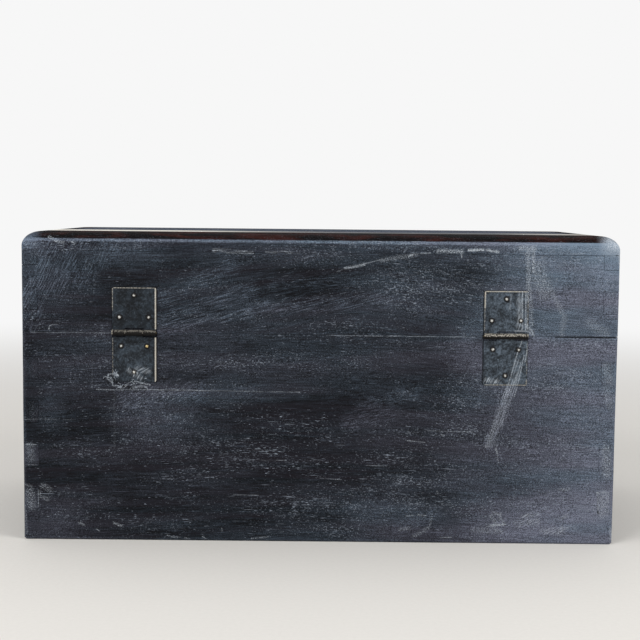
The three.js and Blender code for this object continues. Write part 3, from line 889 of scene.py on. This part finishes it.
def stainedRosewood(node, along, seed, bow, photographed=True, paleEnds=(), shine=0.06):
    # Rosewood planed by hand, stained iron-black and waxed: near black, with pale dust in its open vessels,
    # grey-blue bloom where the wax has turned, and red-brown where hands have rubbed it;
    # the round-over is darkened with painted shade, and painted sheen and painted highlights lie along the
    # top's edge and corner
    material, shader, point = newMaterial("black-stained rosewood, " + node.replace("_", " "))
    x, y, z = split(point)
    marks = {"Wiped": 0.0, "Chalk": 0.0, "Dark": 0.0, "Vessels": 0.0}
    if photographed:
        marks = grouped(backMarksGroup([node]), {"Point": point})
    grain = grouped(rosewoodGrain, {
        "Point": rotated(point, math.pi / 2, "Z") if along == "Y" else point, "Bow": bow[0], "Bow at": bow[1],
        "Bow span": bow[2], "Seed": seed, "More vessels": marks["Vessels"]})
    place = grouped(placeOnChest, {"Point": point})

    reddish = faded(grain["Bands"], 0.42, 0.64)
    clumps = faded(grain["Dust"], 0.36, 0.64, *waxed["clumps"])
    stain = blended(faded(grain["Fibres"], 0.36, 0.66) * clumps, tones["ink"], tones["inkThin"])
    stain = blended(reddish * 0.55, stain, tones["heartwood"])

    cloud = clouds(stretched(point, *waxed["patch"]), detail=3.0)
    haze = faded(cloud, 0.4, 0.72, *waxed["cover"])
    for label in ("Shoulder", "Arris", "Corner", "Middle"):
        haze += place[label] * waxed[label]
    for low, high, strength in paleEnds:
        haze = timesPlus((z > low) * (z < high) * (y > backFace - 0.6), strength, haze)
    if photographed:
        haze += marks["Haze"]
    # where the bloom is thick, it closes up
    closed = derived("ShaderNodeMix", {0: haze * waxed["closing"], 2: clumps, 3: 1.0})
    haze = haze * faded(grain["Fibres"], 0.36, 0.66, *waxed["strands"]) * closed + marks["Wiped"] * clumps
    # grains of dust cling where there is bloom
    clinging = least(grain["Specks"] * (haze + 0.05) * 2.4, waxed["specks"])
    hairlines = faded(grain["Fibres"], 0.6, 0.72, 0.0, waxed["hairlines"])
    haze = reckoned("ADD", haze, hairlines, use_clamp=True)
    bloom = blended(faded(cloud.other(1), 0.42, 0.58), tones["bloom"], tones["bloomWarm"])
    colour = blended(clinging, blended(haze, stain, bloom), tones["dust"])

    # the round-over, red-brown where rubbed through and darkened with painted shade; seen from low down, the
    # top near its edge is painted as dark
    length, height = waxed["wornPatch"]
    patchy = clouds(vector("MULTIPLY", point, (1 / length, 1 / length, 1 / height)), 1.0, 4.0, 0.65)
    worn = blended(faded(patchy, 0.46, 0.66), tones["wornInShade"], tones["worn"])
    worn = blended(faded(grain["Dust"], 0.6, 0.74, 0.0, 0.4), worn, tones["dust"])
    colour = blended(most(place["Round-over"], place["Low"]), colour, worn)
    # seen from low down, the top is painted dark near its edge and then with a pale line of painted sheen,
    # brighter at one end
    toEnd = most(faded(x, -20, 110, 0.22, 1.0), faded(x, -160, -90, 0.7, 0.0))
    dotted = faded(grain["Bands"], 0.4, 0.6, 0.3, 1.0)
    colour = blended(place["Brow"] * most(dotted, toEnd) * toEnd * waxed["brow"], colour, tones["grazingSheen"])

    dusty = grain["Pores"] * waxed["vessels"] * (1 - place["Round-over"])
    colour = blended(dusty, colour, tones["dust"])
    # painted highlight on the rounded corner at one end of the lid, in the chalk tone
    colour = blended(place["Corner"] * clumps * faded(x, -186, -160, 0.5, 0.0), colour, tones["chalk"])
    colour = blended(marks["Dark"], colour, tones["shade"])
    powder = faded(grain["Dust"], 0.36, 0.62, 0.15, 1.0)
    chalk = reckoned("MULTIPLY", marks["Chalk"], powder, use_clamp=True)
    colour = blended(chalk, colour, tones["chalk"])

    bare = blended(reddish, tones["bareDark"], tones["bareWood"])
    bare = blended(grain["Pores"] * 0.7, bare, tones["vessel"])
    scraped = clouds(vector("SCALE", point, 1 / 24), detail=1.0)
    relief = timesPlus(scraped, 4.0, timesPlus(grain["Pores"], -1.2, grain["Fibres"]))
    fed(shader, {"Base Color": blended(place["Inside"], colour, bare),
                 "Roughness": most(ramp(haze, 0.0, 0.6, 0.6, 0.85), place["Flat top"]),
                 "Specular IOR Level": shine, "Normal": bumped(relief, 0.7, 0.08)})
    return material


# Boards: the CAD solids with worn arrises and the slight unevenness of hand-planed wood

planing = {
    "grid": 6.0,  # spacing of the cuts that let a face bend
    "waviness": (45, 0.1),  # spacing and depth
    "nicks": (8, 0.05),
    "arris": 0.5,  # bevel on the outer rims; finger joints and inner edges get a share of it
    "jointShare": 0.2,
    "innerShare": 0.5,
    "sharpFrom": 34,  # degrees
    "seed": 11,
    "rimShift": 0.15,  # the rims touch nearly everywhere, but gape at one end
    "gapeFrom": -146.0,
    "gapeTo": -156.0,
}
crack = {"z": 97.8, "from": 10.0, "to": 141.0, "width": 0.3, "depth": 0.45, "taper": 20}
tornWood = {"low": (102.0, 94.5), "high": (136.0, 107.5), "grid": 0.9, "depth": 0.9}
touching = 0.05  # points nearer than this lie on a face or rim
noise.seed_set(planing["seed"])  # without it the boards come out a little different in each run


def bisected(work, axis, place, faces=None):
    normal = Vector((0, 0, 0))
    normal[axis] = 1
    if faces is None:
        geometry = work.verts[:] + work.edges[:] + work.faces[:]
    else:
        edges = {edge for face in faces for edge in face.edges}
        verts = {vert for face in faces for vert in face.verts}
        geometry = list(verts) + list(edges) + list(faces)
    return bmesh.ops.bisect_plane(work, geom=geometry, plane_co=normal * place, plane_no=normal, dist=1e-7)


def weighArrises(work):
    # how much of the full bevel each arris gets
    layer = work.edges.layers.float.new("bevel_weight_edge")
    for edge in work.edges:
        if len(edge.link_faces) != 2 or edge.calc_face_angle() < 0.6 or edge.calc_length() < 1.2 * mm:
            continue
        ends = [vert.co / mm for vert in edge.verts]
        outer = all(abs(end.x) > halfWidth - touching or abs(end.y) > backFace - touching for end in ends)
        atRim = all(min(abs(end.z - rimZ), abs(end.z - lidRimZ)) < touching for end in ends)
        if outer and atRim:
            edge[layer] = 1.0
        elif outer or not atRim:
            edge[layer] = planing["jointShare"]
        else:
            edge[layer] = planing["innerShare"]


def plane(work):
    # shared field of small shifts, so that neighbouring boards still meet
    for vert in work.verts:
        at = vert.co / mm
        shift = Vector((0, 0, 0))
        for spacing, depth in (planing["waviness"], planing["nicks"]):
            shift += noise.noise_vector(at / spacing) * depth
        shift.y *= 0.6
        closing = held((at.x - planing["gapeTo"]) / (planing["gapeFrom"] - planing["gapeTo"]), 0, 1)
        if abs(at.z - rimZ) < touching:
            shift.z += planing["rimShift"] * closing
        elif abs(at.z - lidRimZ) < touching:
            shift.z -= planing["rimShift"] * closing
        vert.co += shift * mm
        for axis in range(3):
            vert.co[axis] = held(vert.co[axis], cadLow[axis] * 0.9999, cadHigh[axis] * 0.9999)
        if abs(vert.co.y) > backFace * mm:
            vert.co.y = math.copysign(backFace * mm, vert.co.y)


def cutGrid(work, low, high):
    for axis in range(3):
        count = int((high[axis] - low[axis]) / mm / planing["grid"])
        if count < 3:
            continue
        for step in range(1, count):
            bisected(work, axis, low[axis] + (high[axis] - low[axis]) * step / count)


def openCrack(work):
    for offset in (-0.5, 0.0, 0.5):
        onFace = [face for face in work.faces if face.calc_center_median().y > (backFace - 0.3) * mm]
        bisected(work, 2, (crack["z"] + offset * crack["width"]) * mm, onFace)
    for vert in work.verts:
        at = vert.co / mm
        if abs(at.z - crack["z"]) < 0.02 and at.y > backFace - 0.3 and crack["from"] < at.x < crack["to"]:
            ends = min(at.x - crack["from"], crack["to"] - at.x) / crack["taper"]
            vert.co.y -= crack["depth"] * min(ends, 1) * mm


def tearCorner(work):
    # splintered wood under the torn corner of a hinge
    (x0, z0), (x1, z1) = tornWood["low"], tornWood["high"]

    def torn(at):
        return at.y > backFace - 0.5 and x0 < at.x < x1 and z0 < at.z < z1

    for axis, low, high in ((0, x0, x1), (2, z0, z1)):
        for step in range(1, int((high - low) / tornWood["grid"])):
            near = [face for face in work.faces if torn(face.calc_center_median() / mm)]
            bisected(work, axis, (low + step * tornWood["grid"]) * mm, near)
    for vert in work.verts:
        at = vert.co / mm
        if torn(at):
            reach = max(abs(at.x - (x0 + x1) / 2) / (x1 - x0), abs(at.z - (z0 + z1) / 2) / (z1 - z0)) * 2
            rough = noise.noise(Vector((at.x * 0.22, 3.1, at.z * 0.55))) + 0.5 * noise.noise(at * 0.9)
            vert.co.y -= tornWood["depth"] * max(rough, 0) * (1 - reach ** 4) * mm


def boardPiece(node, material, body):
    work = mergedCopy(node)
    weighArrises(work)
    cutGrid(work, *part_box(node))
    plane(work)
    if node == "case_back_board":
        openCrack(work)
        tearCorner(work)
    piece = shownWork("planed_" + node, work)
    bevelled(piece, planing["arris"], limit_method="WEIGHT", loop_slide=True)
    return finished(smoothed(piece, planing["sharpFrom"]), material, body, "dark_wood", node)


topBoard = {
    "round": 9.0,
    "foot": 1.2,
    "cornerRadius": (2.0, 7.0),  # in plan, at the foot of the round-over and where it ends
    "roundSteps": 14,
    "cornerSteps": 9,
    "sideStep": 6.0,
    "inset": 8,  # of the ring that keeps the flat top's edge crisp
    "dents": 0.22,
}


def outlineOf(across, deep, radius, high):
    # a rectangle with rounded corners, its sides cut into steps
    outline = []
    corners = [(across, deep, 0), (-across, deep, 90), (-across, -deep, 180), (across, -deep, 270)]

    def onArc(corner, degrees):
        x, y, start = corner
        centre = Vector((x - math.copysign(radius, x), y - math.copysign(radius, y)))
        angle = math.radians(degrees)
        return centre + radius * Vector((math.cos(angle), math.sin(angle)))

    for index, corner in enumerate(corners):
        for step in range(topBoard["cornerSteps"] + 1):
            outline.append(onArc(corner, corner[2] + 90 * step / topBoard["cornerSteps"]))
        after = corners[(index + 1) % 4]
        after = onArc(after, after[2])
        count = int(2 * (high.x if index % 2 == 0 else high.y) / topBoard["sideStep"])
        begin = outline[-1]
        outline += [begin.lerp(after, step / count) for step in range(1, count)]
    return outline


def topBoardPiece(material):
    low, high = [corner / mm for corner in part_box("lid_top_board")]
    levels = [(low.z, 0.0, 0.0), (low.z + topBoard["foot"], 0.0, 0.0)]
    for step in range(topBoard["roundSteps"] + 1):
        angle = math.pi / 2 * step / topBoard["roundSteps"]
        rise, run = [topBoard["round"] * (1 - turned) for turned in (math.sin(angle), math.cos(angle))]
        levels.append((high.z - rise, run, math.sin(angle) ** 2))
    work = bmesh.new()
    rings = []
    for z, inset, spread in levels:
        radius = topBoard["cornerRadius"][0] * (1 - spread) + topBoard["cornerRadius"][1] * spread
        rings.append([work.verts.new(Vector((spot.x, spot.y, z)) * mm)
                      for spot in outlineOf(high.x - inset, high.y - inset, radius, high)])
    for lower, upper in zip(rings, rings[1:]):
        for step in range(len(lower)):
            after = (step + 1) % len(lower)
            work.faces.new((lower[step], lower[after], upper[after], upper[step]))
    work.faces.new(rings[0][::-1])
    over = work.faces.new(rings[-1])
    bmesh.ops.inset_region(work, faces=[over], thickness=topBoard["inset"] * mm)
    bmesh.ops.recalc_face_normals(work, faces=work.faces)
    for vert in work.verts:
        at = vert.co / mm
        height = held((at.z - (high.z - topBoard["round"])) / topBoard["round"], 0, 1)
        worn = math.sin(math.pi * height ** 0.8)  # the round-over is worn unevenly, most where it turns over
        dent = max(noise.noise(at / 11) + 0.6 * noise.noise(at / 4), 0) * worn * topBoard["dents"]
        inward = [-math.copysign(1, at[axis]) if abs(at[axis]) > high[axis] - topBoard["round"] else 0
                  for axis in (0, 1)]
        spacing, depth = planing["waviness"]
        shift = noise.noise_vector(at / spacing) * depth
        shift.z = 0
        vert.co += (shift + Vector((*inward, -1)) * dent) * mm
        for axis in (0, 1):
            vert.co[axis] = held(vert.co[axis], -high[axis] * mm, high[axis] * mm)
    piece = smoothed(shownWork("planed_lid_top_board", work), planing["sharpFrom"])
    return finished(piece, material, "lid", "dark_wood", "lid_top_board")


boards = {  # way of the grain, seed, bow of the grain (height, place, span), seen in the photograph, pale ends
    "case_back_board": ("X", 1.0, (7.0, 30.0, 120.0)),
    "case_front_board": ("X", 2.3, (9.0, -40.0, 80.0), False),
    "case_left_board": ("Y", 3.1, (6.0, 20.0, 60.0)),
    # the end grain of two fingers is pale: height from and to, strength
    "case_right_board": ("Y", 4.7, (6.0, -30.0, 70.0), True, ((20.0, 34.1, 0.05), (48.2, 62.3, 0.07))),
    "lid_back_rail": ("X", 5.2, (16.0, -20.0, 75.0)),
    "lid_front_rail": ("X", 6.6, (8.0, 70.0, 90.0), False),
    "lid_left_rail": ("Y", 7.4, (4.0, 0.0, 60.0)),
    "lid_right_rail": ("Y", 8.9, (4.0, 10.0, 60.0)),
}

for node, settings in boards.items():
    boardPiece(node, stainedRosewood(node, *settings), node.split("_")[0])
topBoardPiece(stainedRosewood("lid_top_board", "X", 9.5, (12.0, 40.0, 150.0), shine=0.03))
print("boards planed")


def bareRosewood():
    # Rosewood planed and left bare inside the chest: red-brown, with dark open vessels
    material, shader, point = newMaterial("bare planed rosewood")
    grain = grouped(rosewoodGrain, {"Point": rotated(point, math.pi / 2, "X"), "Bow": 10.0, "Bow at": 20.0,
                                    "Bow span": 120.0, "Seed": 12.5})
    colour = blended(ramp(grain["Bands"], 0.34, 0.68), tones["bareDark"], tones["bareWood"])
    colour = blended(faded(grain["Fibres"], 0.35, 0.65, 0.0, 0.35), colour, tones["bareFibre"])
    colour = blended(grain["Pores"] * 0.75, colour, tones["vessel"])
    relief = timesPlus(grain["Pores"], -1.0, grain["Fibres"])
    fed(shader, {"Base Color": colour, "Roughness": 0.6, "Specular IOR Level": 0.25,
                 "Normal": bumped(relief, 0.7, 0.08)})
    return material


def softEdged(node, name, width, material, body, slot, sharpFrom=40):
    piece = shownWork(name, mergedCopy(node))
    bevelled(piece, width, limit_method="ANGLE", angle_limit=math.radians(sharpFrom))
    return finished(smoothed(piece, 36), material, body, slot, node)


softEdged("case_floor_board", "floor_board", 0.3, bareRosewood(), "case", "inner_wood")

# Brass of the hinges and the latch

brassTones = {
    "bright": "#ccc6ba",
    "brown": "#15120f",
    "patina": "#14171b",  # lacquer and tarnish, blue-grey to black
    "patinaPale": "#232a31",
    "grimeAndShade": "#08090a",
    "dust": "#73808e",
    "crown": "#d2d1cd",  # the rubbed tops of the nails, brightened as a painted highlight
    "crownGolden": "#cdb26a",
    "crownRim": "#1a1815",
}
brass = {name: linear(tone) for name, tone in brassTones.items()}

# edges of the leaves that are rubbed bright
wornLines = [
    (131.9, 163.3, 104.8, 163.3, 0.42, 0.6, 0.6),
    (104.7, 163, 104.7, 137.5, 0.85, 0.3, 1.0),
    (104.7, 132, 104.7, 103.6, 0.9, 0.2, 1.0),
    (132.1, 163, 132.1, 149, 0.45, 0.7, 0.5),
    (132.1, 131, 132.1, 107, 0.4, 0.85, 0.35),
    (124.1, 136.4, 124.1, 134.4, 0.3, 0.3, 0.7),  # painted highlights where the knuckles meet
    (112.7, 136.4, 112.7, 134.4, 0.3, 0.3, 0.7),
    (132.1, 136.6, 132.1, 134, 0.4, 0.4, 0.7),
    (-104.8, 163.3, -131.9, 163.3, 0.6, 0.45, 0.85),
    (-104.7, 163, -104.7, 153, 0.8, 0.4, 0.9),
    (-104.7, 153, -104.7, 138, 0.4, 0.8, 0.4),
    (-105.5, 103.4, -131.9, 103.4, 0.45, 0.6, 0.6),
    (-132.1, 103.6, -132.1, 107, 0.5, 0.6, 0.6),
    (-132.1, 160, -132.1, 140, 0.4, 0.8, 0.4),
    (-132.1, 131, -132.1, 110, 0.35, 0.85, 0.3),
]

nailNodes = {body: sorted(name for name in nodes if f"_{body}_nail_" in name) for body in ("case", "lid")}
nailPlaces = {}
for names in nailNodes.values():
    for name in names:
        low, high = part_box(name)
        nailPlaces[name] = Vector(((low.x + high.x) / 2, high.y, (low.z + high.z) / 2))
leafNodes = [f"{side}_hinge_{body}_leaf" for side in ("left", "right") for body in ("case", "lid")]


def nearestNail(flat):
    return least(*[vector("DISTANCE", flat, (spot.x / mm, 0, spot.z / mm)) for spot in nailPlaces.values()])


def darkenedBrass():
    # Sheet brass, cut and rolled by hand, darkened by lacquer and dirt and rubbed bright along its edges, with
    # a painted highlight along the top of the barrel and painted shade in the gaps beside the leaves
    material, shader, point = newMaterial("darkened sheet brass")
    x, y, z = split(point)
    flat = vector("MULTIPLY", point, (1, 0, 1))
    noises = hairNoises(flat, ["speckle", "falling", "sweeping"])
    fine = clouds(point, 0.95, 3.0, 0.65)
    mottle = clouds(point, 0.2, 5.0, 0.78)
    marks = grouped(backMarksGroup(leafNodes), {"Point": point})

    barrel = faded(abs(z - axisZ), 1.9, 2.3, 1.0, 0.0) * (y > backFace + 0.3)
    # the painted highlight along the top of the barrel is wider and brighter at the end with thicker bloom and
    # painted sheen
    moreHighlight = faded(x, -60, 60, 1.0, 0.0)
    low = ramp(moreHighlight, 0.0, 1.0, axisZ + 0.7, axisZ + 0.05)
    # painted highlight along the top of the barrel, joined to the leaf edges that are rubbed bright and the
    # painted highlights where the knuckles meet
    crest = faded(z - low + faded(fine, 0.35, 0.65, -0.45, 0.45), 0.0, 0.5)
    crest = crest * barrel * faded(fine, 0.4, 0.58, 0.05, 1.0) * faded(moreHighlight, 0.0, 1.0, 0.26, 0.55)
    worn = most(strokes(flat, wornLines, noises), crest)
    scratches = most(*[faded(noises[hair], 0.6, 0.72, 0.0, 0.3) for hair in ("falling", "sweeping")])
    scratches *= faded(mottle, 0.46, 0.6)

    patina = blended(faded(mottle, 0.42, 0.62), brass["patina"], brass["patinaPale"])
    patina = blended(faded(fine, 0.5, 0.72, 0.0, 0.16), patina, brass["dust"])
    patina = blended(barrel * 0.9, patina, brass["brown"])
    ring = faded(nearestNail(flat), 1.5, 2.5, 0.85, 0.0)
    patina = blended(ring, patina, brass["grimeAndShade"])
    haze = (marks["Haze"] + marks["Wiped"] + 0.015) * faded(fine, 0.36, 0.62, 0.3, 1.2)
    haze = (haze * faded(mottle, 0.4, 0.6, 0.35, 1.2) + scratches) * (1 - most(ring, barrel))
    patina = blended(least(haze, 1.0), patina, brass["dust"])
    # grime, and painted shade in the gaps and hollows
    patina = blended(marks["Dark"], patina, brass["grimeAndShade"])
    chalk = reckoned("MULTIPLY", marks["Chalk"], 0.85, use_clamp=True)
    fed(shader, {"Base Color": blended(chalk, blended(worn, patina, brass["bright"]), tones["chalk"]),
                 "Metallic": worn * (1 - chalk), "Roughness": ramp(worn, 0.0, 1.0, 0.6, 0.4),
                 "Specular IOR Level": 0.12,
                 "Normal": bumped(timesPlus(clouds(point, 0.14), 3.0, fine), 0.8, 0.08)})
    return material


def nailHeads():
    # Hammered brass: tarnished black with painted shade at the rim of each head, rubbed bright with a painted
    # highlight on its crown, golden on one hinge
    material, shader, point = newMaterial("hammered brass")
    x, y, z = split(point)
    fine = clouds(point, 1.2)
    fromNail = nearestNail(vector("MULTIPLY", point, (1, 0, 1)))
    # bright crown, rubbed and partly a painted highlight, fading to tarnish and painted shade at the rim
    crown = faded(fromNail + faded(fine, 0.3, 0.7, -0.25, 0.25), 0.3, 0.95, 1.0, 0.0)
    golden = faded(x, 124, 105) * (x > 0.0) * (z < rimZ) * (z > 115.0)
    bright = blended(golden, brass["crown"], brass["crownGolden"])
    fed(shader, {"Base Color": blended(crown, brass["crownRim"], bright), "Metallic": crown,
                 "Roughness": ramp(crown, 0.0, 1.0, 0.55, 0.3), "Specular IOR Level": 0.3,
                 "Normal": bumped(fine, 0.6, 0.05)})
    return material


def wornBrass(name, bright, dark):
    # Drawn brass, hammered or bent to shape: bright where it is touched, brown in its hollows
    material, shader, point = newMaterial(name)
    fine = clouds(point, 0.8, 3.0, 0.6)
    tarnish = faded(fine, 0.38, 0.62) * faded(clouds(point, 0.2, 1.0), 0.3, 0.6, 0.3, 1.0)
    fed(shader, {"Base Color": blended(tarnish, linear(bright), linear(dark)), "Metallic": 1.0,
                 "Roughness": ramp(tarnish, 0.0, 1.0, 0.3, 0.55), "Normal": bumped(fine, 0.6, 0.05)})
    return material


leafBrass = darkenedBrass()
pinBrass = wornBrass("worn drawn brass", "#857350", "#2b251c")
nailBrass = nailHeads()

for side in ("left", "right"):
    for body in ("case", "lid"):
        node = f"{side}_hinge_{body}_leaf"
        softEdged(node, "sheet_" + node, 0.1, leafBrass, body, "dull_brass")
    node = f"{side}_hinge_pin"
    softEdged(node, "drawn_" + node, 0.08, pinBrass, "case", "worn_brass")
print("hinges dressed")

# Nails: hammered domes on short shanks, set by a Geometry Nodes tree on the points where the CAD's nails are

nails = {
    "Head radius": 1.5,
    "Head height": 0.75,
    "Shank radius": 0.7,
    "Shank length": 7.2,
    "Hammering": 0.09,
    "Size spread": 0.07,  # a share, the others are millimetres
}


def scattered(given, thing, lowTurn, highTurn, smallest):
    # the thing on every point, each turned and sized by chance, as real geometry
    turn = derived("FunctionNodeRandomValue", {"Min": lowTurn, "Max": highTurn, "Seed": given["Seed"]},
                   data_type="FLOAT_VECTOR")
    turn = derived("FunctionNodeEulerToRotation", {0: turn})
    size = derived("FunctionNodeRandomValue", {2: smallest, 3: 1.0, "Seed": given["Seed"]}, 1,
                   data_type="FLOAT")
    placed = derived("GeometryNodeInstanceOnPoints", {
        "Points": given["Geometry"], "Instance": thing, "Rotation": turn, "Scale": size})
    return derived("GeometryNodeRealizeInstances", {0: placed})


def shaken(geometry, scale, middle, amount):
    # moves each point by a noise about its middle value
    shift = Value(addNode(geometry.tree, "ShaderNodeTexNoise", {"Scale": scale, "Detail": 1.0}).outputs[1])
    shift = vector("SCALE", vector("SUBTRACT", shift, middle), amount)
    return derived("GeometryNodeSetPosition", {"Geometry": geometry, "Offset": shift})


def closedGeometry(tree, given, geometry):
    coated = derived("GeometryNodeSetMaterial", {"Geometry": geometry, "Material": given["Material"]})
    return closedGroup(tree, {"Geometry": coated}, "Geometry")


def nailTree():
    tree, given = newGroup("domed nails", "GeometryNodeTree", {
        "Geometry": ["Geometry"], "Float": nails, "Int": ["Seed"], "Material": ["Material"]})
    ball = derived("GeometryNodeMeshUVSphere", {"Segments": 20, "Rings": 12, "Radius": given["Head radius"]})
    x, y, z = split(Value(tree.nodes.new("GeometryNodeInputPosition").outputs[0]))
    lift = most(z, 0.0) * (given["Head height"] / given["Head radius"])
    flat = derived("ShaderNodeCombineXYZ", {0: x, 1: y, 2: lift})
    dome = derived("GeometryNodeSetPosition", {"Geometry": ball, "Position": flat})
    rod = derived("GeometryNodeMeshCylinder", {"Vertices": 12, "Radius": given["Shank radius"],
                                               "Depth": given["Shank length"]})
    sunk = derived("ShaderNodeCombineXYZ", {2: given["Shank length"] * -0.5})
    nail = derived("GeometryNodeJoinGeometry", {
        0: derived("GeometryNodeTransform", {"Geometry": rod, "Translation": sunk})})
    fed(nail.socket.node, {0: dome})
    # pointing out of the back, a little askew
    whole = scattered(given, nail, (-math.pi / 2 - 0.09, 0, -0.09), (-math.pi / 2 + 0.09, 6.283, 0.09),
                      1 - given["Size spread"])
    beaten = shaken(whole, 900.0, (0.5, 0.5, 0.5), given["Hammering"])
    return closedGeometry(tree, given, derived("GeometryNodeSetShadeSmooth", {"Geometry": beaten}))


def grownOn(name, points, tree, values):
    # a tree's result on a cloud of points, as a plain mesh
    mesh = bpy.data.meshes.new(name)
    mesh.from_pydata(points, [], [])
    piece = shown(name, mesh)
    modifier = piece.modifiers.new(tree.name, "NODES")
    modifier.node_group = tree
    for item in tree.interface.items_tree:
        if item.item_type == "SOCKET" and item.in_out == "INPUT" and item.name in values:
            modifier[item.identifier] = values[item.name]
    return baked(piece)


domedNails = nailTree()
for seed, (body, names) in enumerate(nailNodes.items()):
    seats = [nailPlaces[name] - Vector((0, nails["Head height"] * mm, 0)) for name in names]
    sizes = {label: value * mm for label, value in nails.items()}
    sizes.update({"Size spread": nails["Size spread"], "Seed": seed + 3, "Material": nailBrass})
    finished(grownOn(f"domed_nails_{body}", seats, domedNails, sizes), nailBrass, body, "worn_brass", *names)
print("nails driven")

# Splinters torn up at the lower corner of one hinge

splinters = {
    "count": 64,
    "Length": 3.0,
    "Radius": 0.17,
    "Curl": 2.4,
    "smallest": 0.35,
    "spots": [  # X, Z and spread
        (134.0, 105.6, 1.6), (130.4, 107.8, 1.6), (126.4, 99.8, 2.4), (118.4, 101.6, 2.8), (112.6, 101.4, 2.8)],
}


def splinterTree():
    tree, given = newGroup("torn splinters", "GeometryNodeTree", {
        "Geometry": ["Geometry"], "Float": ["Length", "Radius", "Curl"], "Int": ["Seed"],
        "Material": ["Material"]})
    end = derived("ShaderNodeCombineXYZ", {0: given["Length"]})
    line = derived("GeometryNodeCurvePrimitiveLine", {"End": end})
    line = derived("GeometryNodeResampleCurve", {"Curve": line, "Count": 7})
    whole = scattered(given, line, (0, -0.6, -0.3), (0, 6.283, 0.3), splinters["smallest"])
    curled = shaken(whole, 420.0, (0.5, 0.42, 0.5), given["Curl"])
    profile = derived("GeometryNodeCurvePrimitiveCircle", {"Resolution": 5, "Radius": given["Radius"]})
    solid = derived("GeometryNodeCurveToMesh", {"Curve": curled, "Profile Curve": profile, "Fill Caps": True})
    return closedGeometry(tree, given, solid)


def tornFibre():
    # Bare wood fibre torn up through the stain: pale, dry and dull
    material, shader, point = newMaterial("torn rosewood fibre")
    fine = faded(clouds(point, 0.5), 0.35, 0.65)
    fed(shader, {"Base Color": blended(fine, linear("#373b42"), linear("#a4acb6")), "Roughness": 0.9,
                 "Specular IOR Level": 0.1})
    return material


draw = random.Random(11)
roots = []
for index in range(splinters["count"]):
    x, z, spread = splinters["spots"][index % len(splinters["spots"])]
    roots.append(((x + draw.gauss(0, spread * 0.5)) * mm, (backFace + 0.12 + 0.2 * draw.random()) * mm,
                  (z + draw.gauss(0, spread * 0.4)) * mm))
fibres = tornFibre()
sizes = {label: splinters[label] * mm for label in ("Length", "Radius", "Curl")}
sizes.update({"Seed": 5, "Material": fibres})
finished(grownOn("torn_splinters", roots, splinterTree(), sizes), fibres, "case", "dark_wood")
print("splinters raised")

# Swing hook on the front, with its washer, pivot pin and stud

hookBrass = wornBrass("bent and filed brass", "#a8946a", "#453a29")
latch = {  # CAD node: name, softened by, material, body, slot, sharp from
    "latch_hook": ("bent_hook", 0.18, hookBrass, "hook", "worn_brass"),
    "latch_washer": ("turned_washer", 0.12, pinBrass, "case", "dull_brass"),
    "latch_pivot_pin": ("turned_pivot", 0.08, hookBrass, "case", "worn_brass", 55),
    "latch_stud": ("turned_stud", 0.08, hookBrass, "lid", "worn_brass", 55),
}
for node, settings in latch.items():
    softEdged(node, *settings)
print("latch dressed")
